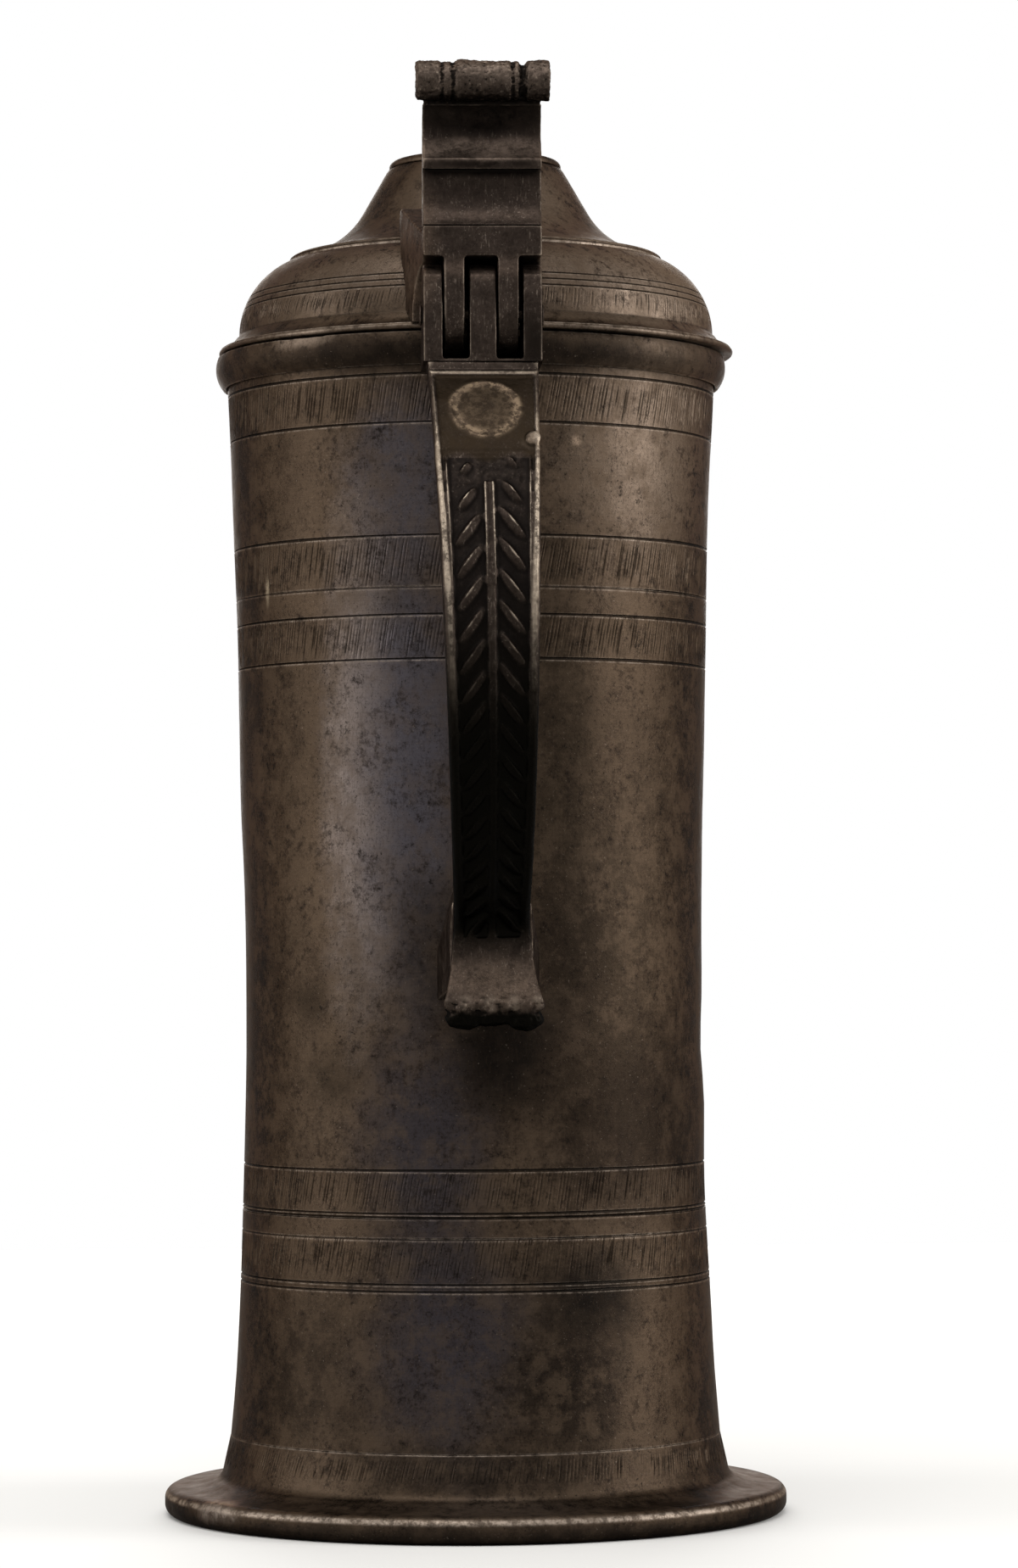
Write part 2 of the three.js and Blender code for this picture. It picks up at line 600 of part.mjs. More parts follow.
// The point at s, how far its outward normal leans up from the horizontal, and the half width there.
function strapPoint(s) {
  const x = (STRAP_LEAN * s) / strapLength;
  if (s <= bowLength) {
    const lean = bowHalfAngle - s / bowRadius;
    return {
      x,
      y: bowCentre[0] - bowRadius * Math.cos(lean),
      z: bowCentre[1] + bowRadius * Math.sin(lean),
      lean,
      half: THREE.MathUtils.lerp(STRAP_TOP_WIDTH, STRAP_FOOT_WIDTH, s / bowLength) / 2,
    };
  }
  const foot = strapPoint(bowLength);
  const curled = Math.min(s - bowLength, curlLength);
  const straight = s - bowLength - curled;
  const lean = curled / TAIL_CURL_RADIUS - bowHalfAngle;
  const turn = [Math.cos(lean) - Math.cos(bowHalfAngle), Math.sin(lean) + Math.sin(bowHalfAngle)];
  const spread = ((s - bowLength) / (curlLength + TAIL_LENGTH)) ** 2;
  return {
    x,
    y: foot.y + TAIL_CURL_RADIUS * turn[0] - straight * Math.sin(lean),
    z: foot.z - TAIL_CURL_RADIUS * turn[1] - straight * Math.cos(lean),
    lean,
    half: THREE.MathUtils.lerp(STRAP_FOOT_WIDTH, TAIL_WIDTH, spread) / 2,
  };
}

// A closed loft along the strap: each section holds [across, outward] points at a place.
function loft(places, sectionAt) {
  const sections = places.map(sectionAt);
  const rings = places.map((s, i) => {
    const p = strapPoint(s);
    return sections[i].map(([across, out]) => [
      p.x + across,
      p.y - out * Math.cos(p.lean),
      p.z + out * Math.sin(p.lean),
    ]);
  });
  const n = sections[0].length;
  const index = [];
  for (let i = 0; i + 1 < rings.length; i++) {
    for (let k = 0; k < n; k++) {
      const a = i * n + k;
      const b = i * n + ((k + 1) % n);
      index.push(a, b, a + n, b, b + n, a + n);
    }
  }
  const flat = sections[0].map((point) => new THREE.Vector2(...point));
  const last = (rings.length - 1) * n;
  for (const [a, b, c] of THREE.ShapeUtils.triangulateShape(flat, [])) {
    index.push(c, b, a, last + a, last + b, last + c);
  }
  return new THREE.BufferGeometry()
    .setAttribute("position", new THREE.Float32BufferAttribute(rings.flat(2), 3))
    .setIndex(index);
}

// Places from one end to the other, no further apart than the spacing.
function placesBetween(from, to) {
  const count = Math.ceil((to - from) / STATION_SPACING);
  return Array.from({ length: count + 1 }, (_, i) => THREE.MathUtils.lerp(from, to, i / count));
}

// How far the face lies below the edge beads: moulding, panel, leaf field, then the plain foot and tail.
const fieldEnd = bowLength - PLAIN_FOOT_LENGTH;

function fieldDepth(s) {
  if (s < MOULDING_LENGTH || s > fieldEnd) return FLUSH_DEPTH;
  return s < PANEL_LENGTH ? PANEL_DEPTH : RELIEF_DEPTH;
}

function strapSection(s) {
  const half = strapPoint(s).half;
  const field = fieldDepth(s);
  const spineTop = s > SPINE_START && s < fieldEnd ? FLUSH_DEPTH : field;
  const bead = half - EDGE_BEAD_WIDTH;
  const spine = SPINE_WIDTH / 2;
  const oneSide = [
    [half, -STRAP_THICKNESS],
    [half, -BEAD_ROUND],
    [half - BEAD_ROUND, 0],
    [bead + BEAD_ROUND, 0],
    [bead, -field],
    [spine + BEAD_ROUND, -field],
    [spine, -spineTop],
  ];
  return [...oneSide, ...oneSide.map(([across, out]) => [-across, out]).reverse()];
}

// One raised leaf: a lozenge with a keel that lies in the field, its upper end at the spine.
function leaf(s, side) {
  const p = strapPoint(s);
  const fieldWidth = p.half - EDGE_BEAD_WIDTH - SPINE_WIDTH / 2 - 2 * LEAF_MARGIN;
  const across = side * (SPINE_WIDTH / 2 + LEAF_MARGIN + fieldWidth / 2);
  const halfLength = Math.min(LEAF_LENGTH, fieldWidth / Math.sin(rad(LEAF_ANGLE))) / 2;
  return solid(
    new THREE.OctahedronGeometry(1)
      .scale(LEAF_WIDTH / 2, RELIEF_DEPTH, halfLength)
      .rotateY(-side * rad(LEAF_ANGLE))
      .translate(across, RELIEF_DEPTH, 0)
      .rotateX(-p.lean)
      .translate(p.x, p.y, p.z),
  );
}

// Handle strap: lofted through its steps, with the leaves joined on and its top cut level.
function handleStrap() {
  const steps = [MOULDING_LENGTH, PANEL_LENGTH, SPINE_START, fieldEnd];
  const starts = [-2 * STRAP_THICKNESS, ...steps.map((s) => s + STEP_SLOPE / 2)];
  const ends = [...steps.map((s) => s - STEP_SLOPE / 2), strapLength];
  let made = solid(loft(starts.flatMap((from, i) => placesBetween(from, ends[i])), strapSection));
  for (let s = SPINE_START + LEAF_PITCH / 2; s < fieldEnd - LEAF_PITCH / 2; s += LEAF_PITCH) {
    made = made.add(leaf(s, -1)).add(leaf(s, 1));
  }
  const above = new THREE.BoxGeometry(STRAP_TOP_WIDTH * 2, STRAP_TOP_WIDTH * 2, STRAP_TOP_WIDTH)
    .translate(0, bowTopY, bracketBottom + STRAP_TOP_WIDTH / 2);
  return geometryOf(made.subtract(solid(above)));
}

// Handle pad: tapers from the drum to the back of the strap's heel, and narrows to its top.
function handlePad() {
  const heel = strapPoint(heelPlace);
  const top = heel.z + PAD_ABOVE_HEEL;
  const bottom = heel.z - PAD_BELOW_HEEL;
  const root = -(DRUM_WAIST_RADIUS - DRUM_WALL);
  const face = heel.y + STRAP_THICKNESS / 2;
  const sideOutline = [
    [face, bottom],
    [face, top],
    [root, top + PAD_FLARE],
    [root, bottom - PAD_FLARE],
  ];
  const planOutline = [
    [heel.x - PAD_DRUM_WIDTH / 2, root],
    [heel.x - PAD_DRUM_WIDTH / 2, -DRUM_WAIST_RADIUS],
    [heel.x - PAD_STRAP_WIDTH / 2, face],
    [heel.x + PAD_STRAP_WIDTH / 2, face],
    [heel.x + PAD_DRUM_WIDTH / 2, -DRUM_WAIST_RADIUS],
    [heel.x + PAD_DRUM_WIDTH / 2, root],
  ];
  const frontOutline = [
    [heel.x - PAD_DRUM_WIDTH / 2, bottom - PAD_FLARE],
    [heel.x + PAD_DRUM_WIDTH / 2, bottom - PAD_FLARE],
    [heel.x + PAD_DRUM_WIDTH / 2, heel.z],
    [heel.x + PAD_TOP_WIDTH / 2, top + PAD_FLARE],
    [heel.x - PAD_TOP_WIDTH / 2, top + PAD_FLARE],
    [heel.x - PAD_DRUM_WIDTH / 2, heel.z],
  ];
  const behindStrap = loft(placesBetween(heelPlace - 2 * PAD_ABOVE_HEEL, strapLength), () => [
    [PAD_DRUM_WIDTH, -STRAP_THICKNESS - SOLDER_GAP],
    [PAD_DRUM_WIDTH, 0],
    [-PAD_DRUM_WIDTH, 0],
    [-PAD_DRUM_WIDTH, -STRAP_THICKNESS - SOLDER_GAP],
  ]);
  return geometryOf(
    solid(extruded("side", sideOutline, heel.x - PAD_DRUM_WIDTH / 2, heel.x + PAD_DRUM_WIDTH / 2))
      .intersect(solid(extruded("plan", planOutline, bottom - PAD_FLARE, top + PAD_FLARE)))
      .intersect(solid(extruded("front", frontOutline, -root, -face)))
      .subtract(vesselCutter())
      .subtract(solid(behindStrap)),
  );
}

const vessel = new THREE.Group();
vessel.add(
  piece("foot_ring", footRing()),
  piece("base_plate", basePlate()),
  piece("drum_lower", drumSection(FOOT_HEIGHT, lowerJoint, 4)),
  piece("drum_middle", drumSection(lowerJoint, upperJoint, 9)),
  piece("drum_upper", drumSection(upperJoint, drumTop, 4)),
  piece("mouth_collar", mouthCollar()),
  piece("handle_bracket", handleBracket(), DARK_PEWTER),
  piece("handle_strap", handleStrap(), DARK_PEWTER),
  piece("handle_pad", handlePad(), DARK_PEWTER),
  piece("hinge_pin", hingePin(), PIN_METAL),
);

const turnedLid = new THREE.Group();
turnedLid.position.x = LID_ASKEW;
turnedLid.add(
  piece("lid_dome", lidDome()),
  piece("lid_bezel", lidBezel()),
  piece("lid_crown", lidCrown()),
);
const lid = new THREE.Group();
lid.add(
  turnedLid,
  piece("lid_strap", lidStrap(), DARK_PEWTER),
  piece("thumbpiece", thumbpiece(), DARK_PEWTER),
);

// The drum's axis stands off the origin by half the handle's reach past the foot.
const strapCrest = bowCentre[0] - bowRadius;
const flagon = new THREE.Group();
flagon.add(vessel, lid);
flagon.position.y = -(strapCrest + FOOT_RADIUS) / 2;

export default flagon;
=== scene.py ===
# A lidded pewter flagon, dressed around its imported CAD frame. The row frame is in metres, and the
# sizes of the pieces are written in millimetres, as on a maker's drawing.
import json
import math
import random

import bpy
import numpy as np
from mathutils import Matrix, Vector


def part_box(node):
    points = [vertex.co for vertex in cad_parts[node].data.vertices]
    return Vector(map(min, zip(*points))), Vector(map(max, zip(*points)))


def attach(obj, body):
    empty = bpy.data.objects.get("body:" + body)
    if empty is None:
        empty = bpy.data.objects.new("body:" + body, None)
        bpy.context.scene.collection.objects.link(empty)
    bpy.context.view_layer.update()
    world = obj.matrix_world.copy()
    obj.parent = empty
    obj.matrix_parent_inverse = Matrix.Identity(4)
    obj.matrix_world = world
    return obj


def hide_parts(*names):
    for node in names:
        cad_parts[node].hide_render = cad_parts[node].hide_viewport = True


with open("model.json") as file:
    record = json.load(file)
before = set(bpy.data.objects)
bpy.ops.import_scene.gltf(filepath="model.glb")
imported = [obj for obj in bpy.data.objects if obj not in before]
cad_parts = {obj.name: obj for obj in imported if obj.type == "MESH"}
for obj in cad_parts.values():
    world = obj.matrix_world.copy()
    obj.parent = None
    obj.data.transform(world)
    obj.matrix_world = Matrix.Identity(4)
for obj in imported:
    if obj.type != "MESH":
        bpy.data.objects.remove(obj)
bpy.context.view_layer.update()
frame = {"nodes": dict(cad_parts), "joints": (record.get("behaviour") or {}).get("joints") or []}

MM = 0.001
foot_low, foot_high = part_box("foot_ring")
AXIS_Y = (foot_low.y + foot_high.y) / 2 / MM
PIN_Y, PIN_Z = (value / MM for value in frame["joints"][0]["pos_m"][1:])

# Camera: a long lens at the height of the drum's middle, a little to the left of the handle and tilted
# up. Its focal length, pitch, turn and lean were solved from the photograph's own rims and levels.
IMAGE_SIDE = 1849
FOCAL_PIXELS = 6000
SENSOR_WIDTH = 36
CAMERA_DISTANCE = 1140
CAMERA_HEIGHT = 127
CAMERA_SIDE_ANGLE = 1.95
CAMERA_PITCH = 1.76
CAMERA_TURN = 0.41
CAMERA_ROLL = 0.28

camera_data = bpy.data.cameras.new("camera")
camera_data.sensor_width = SENSOR_WIDTH
camera_data.lens = SENSOR_WIDTH * FOCAL_PIXELS / IMAGE_SIDE
camera = bpy.data.objects.new("camera", camera_data)
bpy.context.scene.collection.objects.link(camera)
side = math.radians(CAMERA_SIDE_ANGLE)
stand = Vector((-math.sin(side) * CAMERA_DISTANCE, AXIS_Y - math.cos(side) * CAMERA_DISTANCE, CAMERA_HEIGHT))
camera.matrix_world = (
    Matrix.Translation(stand * MM)
    @ Matrix.Rotation(-math.radians(CAMERA_SIDE_ANGLE + CAMERA_TURN), 4, "Z")
    @ Matrix.Rotation(math.radians(90 + CAMERA_PITCH), 4, "X")
    @ Matrix.Rotation(-math.radians(CAMERA_ROLL), 4, "Z")
)
bpy.context.scene.camera = camera
bpy.context.scene.view_settings.view_transform = "Standard"


# Studio: a pale floor, a white surround and four soft boxes. Two at the sides draw the long soft lights
# down both flanks of the drum, one lights it from behind, and one hangs over the lid.
def node(tree, kind, inputs=(), **settings):
    """Adds a node, sets its own settings, and fills its inputs with values or with links."""
    made = tree.nodes.new(kind)
    for name, value in settings.items():
        setattr(made, name, value)
    for name, value in dict(inputs).items():
        if isinstance(value, bpy.types.NodeSocket):
            tree.links.new(value, made.inputs[name])
        else:
            made.inputs[name].default_value = value
    return made


def linear(colour):
    """An sRGB hex colour as linear red, green, blue and alpha."""
    shares = [int(colour[i : i + 2], 16) / 255 for i in (1, 3, 5)]
    return [c / 12.92 if c <= 0.04045 else ((c + 0.055) / 1.055) ** 2.4 for c in shares] + [1]


SURROUND_LIGHT = 0.5
world = bpy.data.worlds.new("surround")
bpy.context.scene.world = world
world.use_nodes = True
tree = world.node_tree
tree.nodes.clear()
rays = node(tree, "ShaderNodeLightPath")
seen = rays.outputs["Is Camera Ray"]
for kind in ("Is Glossy Ray", "Is Transmission Ray"):
    seen = node(tree, "ShaderNodeMath", {0: seen, 1: rays.outputs[kind]}, operation="MAXIMUM").outputs[0]
strength = node(tree, "ShaderNodeMapRange", {"Value": seen, "To Min": SURROUND_LIGHT, "To Max": 1.0})
sky = node(tree, "ShaderNodeBackground", {"Color": linear("#ffffff"), "Strength": strength.outputs[0]})
node(tree, "ShaderNodeOutputWorld", {"Surface": sky.outputs[0]})

FLOOR_SIDE = 4000
FLOOR_BACK = 970
PAPER_ROUGHNESS = 0.85
floor_middle = (AXIS_Y + FLOOR_BACK - FLOOR_SIDE / 2) * MM
bpy.ops.object.select_all(action="DESELECT")
bpy.ops.mesh.primitive_plane_add(size=FLOOR_SIDE * MM, location=(0, floor_middle, 0))
floor = bpy.context.object
floor.name = "floor"
bpy.ops.object.transform_apply(location=True)
paper = bpy.data.materials.new("matt_paper")
paper.use_nodes = True
paper_shader = paper.node_tree.nodes["Principled BSDF"]
paper_shader.inputs["Base Color"].default_value = linear("#e8e6e2")
paper_shader.inputs["Roughness"].default_value = PAPER_ROUGHNESS
floor.data.materials.append(paper)

AIM_HEIGHT = 150
SOFT_BOXES = (
    # name, azimuth round the vessel from the camera's side, distance, height, width, length, power
    ("left_box", -80, 1150, 330, 560, 900, 6),
    ("right_box", 78, 1150, 420, 560, 800, 9),
    ("back_box", 180, 1300, 500, 900, 700, 9),
    ("top_box", -20, 500, 1150, 900, 900, 7),
)
for name, azimuth, distance, height, width, length, power in SOFT_BOXES:
    lamp = bpy.data.lights.new(name, "AREA")
    lamp.shape = "RECTANGLE"
    lamp.size, lamp.size_y, lamp.energy = width * MM, length * MM, power
    box = bpy.data.objects.new(name, lamp)
    bpy.context.scene.collection.objects.link(box)
    turn = math.radians(azimuth)
    box.location = Vector((math.sin(turn) * distance, AXIS_Y - math.cos(turn) * distance, height)) * MM
    aim = Vector((0, AXIS_Y, AIM_HEIGHT)) * MM - box.location
    box.rotation_mode = "QUATERNION"
    box.rotation_quaternion = aim.to_track_quat("-Z", "Y")


# Foot: a cast ring of pewter, turned on the lathe outside and left as cast below. The flange is spread
# and rolled over at its rim, and a band of file strokes runs round its short upstand.
FOOT_RADIUS = 69.2
FOOT_HEIGHT = 17.5
FOOT_RIM = 6.1
FOOT_RIM_ROUND = 2.4
DRUM_FOOT_RADIUS = 54.5
DRUM_WALL = 2.2
TURNS = 1260
SAME_PLACE = 1e-7


def arc(r, z, radius, start, end, steps):
    """Points [r, z] along an arc, with angles in degrees from +r towards +z."""
    angles = [math.radians(start + (end - start) * i / steps) for i in range(steps + 1)]
    return [(r + radius * math.cos(a), z + radius * math.sin(a)) for a in angles]


def curve(points, steps):
    """A Bezier curve on three or four [r, z] points, as a polyline."""
    made = []
    for i in range(steps + 1):
        level = [np.array(p, float) for p in points]
        while len(level) > 1:
            level = [a + (b - a) * i / steps for a, b in zip(level, level[1:])]
        made.append(tuple(level[0]))
    return made


def traced(places, origin=(0, 0, 0)):
    """A line drawn point by point through places in mm. It is left in edit mode with all of it selected."""
    places = [Vector(place) * MM for place in places]
    bpy.ops.object.select_all(action="DESELECT")
    bpy.ops.mesh.primitive_plane_add(size=MM, location=[value * MM for value in origin])
    made = bpy.context.object
    bpy.ops.object.mode_set(mode="EDIT")
    bpy.ops.mesh.merge(type="CENTER")
    bpy.ops.transform.translate(value=places[0])
    for here, there in zip(places, places[1:]):
        bpy.ops.mesh.extrude_region_move(TRANSFORM_OT_translate={"value": there - here})
    bpy.ops.mesh.select_all(action="SELECT")
    bpy.ops.mesh.remove_doubles(threshold=SAME_PLACE)
    return made


def lathed(piece, turns, axis="Z"):
    """Sweeps a traced line round an axis through its origin, into a closed skin that faces outwards."""
    bpy.ops.object.mode_set(mode="OBJECT")
    lathe = piece.modifiers.new("lathe", "SCREW")
    lathe.axis = axis
    lathe.steps = lathe.render_steps = turns
    lathe.use_merge_vertices = True
    lathe.merge_threshold = SAME_PLACE
    bpy.ops.object.modifier_apply(modifier="lathe")
    bpy.ops.object.transform_apply(location=True, rotation=True, scale=True)
    bpy.ops.object.mode_set(mode="EDIT")
    bpy.ops.mesh.select_all(action="SELECT")
    bpy.ops.mesh.remove_doubles(threshold=SAME_PLACE)
    bpy.ops.mesh.normals_make_consistent(inside=False)
    bpy.ops.object.mode_set(mode="OBJECT")


def turned(name, profile, turns=TURNS, slant=None, shift=0.0):
    """A lathe-turned piece from its profile [r, z]. slant gives the angle by which a level of the
    profile is drawn further round, and shift is how far to the right its axis stands."""
    angles = [slant(z) if slant else 0.0 for _, z in profile]
    places = [(r * math.sin(angle), -r * math.cos(angle), z) for (r, z), angle in zip(profile, angles)]
    closed = profile[0][0] > 0
    made = traced(places + places[:1] * closed, (shift, AXIS_Y, 0))
    made.name = made.data.name = name
    lathed(made, turns)
    return made


def points_of(piece):
    """The places of the piece's points, in millimetres."""
    places = np.zeros(len(piece.data.vertices) * 3)
    piece.data.vertices.foreach_get("co", places)
    return places.reshape(-1, 3) / MM


def normals_of(piece):
    """The way that each of the piece's points faces."""
    normals = np.zeros(len(piece.data.vertices) * 3)
    piece.data.vertices.foreach_get("normal", normals)
    return normals.reshape(-1, 3)


def displaced(piece, name, strength, middle=0.0, shares=None, texture=None):
    """Moves the piece's points along their normals by a strength in mm. Where shares are given each
    point moves by its share of it, and where a texture is, by what that holds above its middle."""
    moved = piece.modifiers.new(name, "DISPLACE")
    moved.strength = strength * MM
    moved.mid_level = middle
    if shares is not None:
        group = piece.vertex_groups.new(name=name)
        for share in np.unique(shares[shares > 0]):
            group.add(np.flatnonzero(shares == share).tolist(), float(share), "REPLACE")
        moved.vertex_group = group.name
    if texture:
        moved.texture = texture
        moved.texture_coords = "LOCAL"
    bpy.context.view_layer.objects.active = piece
    bpy.ops.object.modifier_apply(modifier=name)


PRESS_LEVELS = 24


def press(piece, name, shares, depth):
    """Presses the points in along their normals, each by its share of the depth."""
    displaced(piece, name, -depth, shares=np.round(shares * PRESS_LEVELS) / PRESS_LEVELS)


def band(values, middle, width):
    """1 at the middle value, and fading to nothing on both sides of it over about twice the width."""
    return np.exp(-(((values - middle) / width) ** 2))


def dent(piece, centre, reach, depth):
    """A knock, pit or chip: a soft hollow round one place, or a bump where the depth is negative."""
    away = np.linalg.norm((points_of(piece) - centre) / reach, axis=1)
    press(piece, "dent", np.where(away < 2.2, band(away, 0, 1), 0), depth)


def mark(piece, name, values):
    """Stores one value for each point of the piece, for its material."""
    layer = piece.data.attributes.get(name) or piece.data.attributes.new(name, "FLOAT", "POINT")
    layer.data.foreach_set("value", np.asarray(values, np.float32))


STROKE_SLANT = 10.5
STROKE_DEPTH = 0.13
STROKE_WEIGHTS = (0.45, 0.6, 0.75, 0.9, 1.0)
STROKE_SPACINGS = (2, 3, 3, 3)
RAGGED_FOOT = 0.5
RAGGED_TOP = 0.38
SKIP_HALF = 0.9
STROKE_GRIME = 0.8
LINE_HALF = 0.16


def hatch_slant(bands):
    """How far round a level is drawn, so that the mesh's columns lean as the file strokes do."""
    def turn(z):
        run = sum(min(max(z - low, 0), high - low) for low, high in bands)
        return run * math.tan(math.radians(STROKE_SLANT)) / DRUM_FOOT_RADIUS
    return turn


def hatch(piece, bands, slant, seed, shift=0.0, broken=0.0, lines=()):
    """Files a band of short strokes round the piece: every second or third column, each of its own
    depth and length. A share of them is broken, where the file skipped. The strokes and the engraved
    lines are marked as cut."""
    draw = random.Random(seed)
    places = points_of(piece)
    z = places[:, 2]
    angle = np.arctan2(places[:, 0] - shift, AXIS_Y - places[:, 1]) - [slant(level) for level in z]
    column = np.round(angle * TURNS / (2 * math.pi)).astype(int) % TURNS
    outside = piece_outside(piece)
    shares = np.zeros(len(places))
    for low, high in bands:
        weight, start, end, skip = np.zeros((4, TURNS))
        at = 0
        while at < TURNS:
            weight[at] = draw.choice(STROKE_WEIGHTS)
            start[at] = low + draw.uniform(0.0, RAGGED_FOOT) ** 2 * (high - low)
            end[at] = high - draw.uniform(0.0, RAGGED_TOP) ** 2 * (high - low)
            skip[at] = low + draw.random() * (high - low) if draw.random() < broken else 0
            at += draw.choice(STROKE_SPACINGS)
        inside = outside & (z > start[column]) & (z < end[column]) & (abs(z - skip[column]) > SKIP_HALF)
        shares = np.where(inside, weight[column], shares)
    press(piece, "strokes", shares, STROKE_DEPTH)
    engraved = [outside & (abs(z - line + LINE_HALF / 2) < LINE_HALF) for line in lines]
    mark(piece, "cut", np.maximum(shares * STROKE_GRIME, np.any(engraved, 0) if lines else 0))


def piece_outside(piece):
    """True for the points that face away from the vessel's axis."""
    return ((normals_of(piece) * (points_of(piece) - (0, AXIS_Y, 0)))[:, :2]).sum(1) > 0


def neighbours(piece):
    """The piece's edges as two arrays of point numbers, and the number of edges at each point."""
    ends = np.zeros(len(piece.data.edges) * 2, int)
    piece.data.edges.foreach_get("vertices", ends)
    a, b = ends.reshape(-1, 2).T
    size = len(piece.data.vertices)
    return a, b, np.maximum(np.bincount(a, minlength=size) + np.bincount(b, minlength=size), 1)


def mark_wear_and_highlight(piece, painted_highlight=0.0):
    """Stores on each point how sharply the surface bends there: positive on edges, where hands rub it
    lighter, and negative in hollows, where grime stays and shade is painted. Its second argument adds a
    painted highlight of its own."""
    places, normals = points_of(piece), normals_of(piece)
    a, b, count = neighbours(piece)
    along = places[b] - places[a]
    along /= np.maximum(np.linalg.norm(along, axis=1), 1e-9)[:, None]
    bend = np.bincount(a, -(normals[a] * along).sum(1), len(places))
    bend += np.bincount(b, (normals[b] * along).sum(1), len(places))
    bend /= count
    near = np.bincount(a, bend[b], len(places)) + np.bincount(b, bend[a], len(places))
    mark(piece, "wear_and_highlight", (bend + near / count) / 2 + painted_highlight)


def pick(*pieces):
    """Selects these pieces alone, with the first of them active."""
    bpy.ops.object.select_all(action="DESELECT")
    for piece in pieces:
        piece.select_set(True)
    bpy.context.view_layer.objects.active = pieces[0]


TURNED_EDGE = 35


def smooth(piece, angle=TURNED_EDGE):
    """Shades the piece smooth, with its sharper edges kept."""
    pick(piece)
    bpy.ops.object.shade_smooth_by_angle(angle=math.radians(angle))


PATTERNS = (
    # name, size of its patches across, back and up in mm, detail, roughness
    ("clouds", (29, 29, 29), 4, 0.6),
    ("drift", (11, 11, 11), 4, 0.65),
    ("mottle", (5.9, 5.9, 5.9), 7, 0.72),
    ("specks", (1.9, 1.9, 1.9), 5, 0.8),
    ("grain", (0.7, 0.7, 0.7), 3, 0.75),
    ("glints", (0.5, 0.5, 0.5), 2, 0.5),
    ("scratches", (0.45, 0.45, 2.4), 3, 0.6),
    ("rings", (14, 14, 0.43), 3, 0.7),
)
SPOT_EDGE = 1.35
SPOT_CORE = 0.2
SPOT_WHOLE = 0.56
SPOT_BROKEN = 0.38
UNDERCOATS = 2
DULL = 0.56
POLISHED = 0.38
SKIN_RELIEF = 0.12
SKIN_SHARE = 0.4
LATHE_RELIEF = 0.1


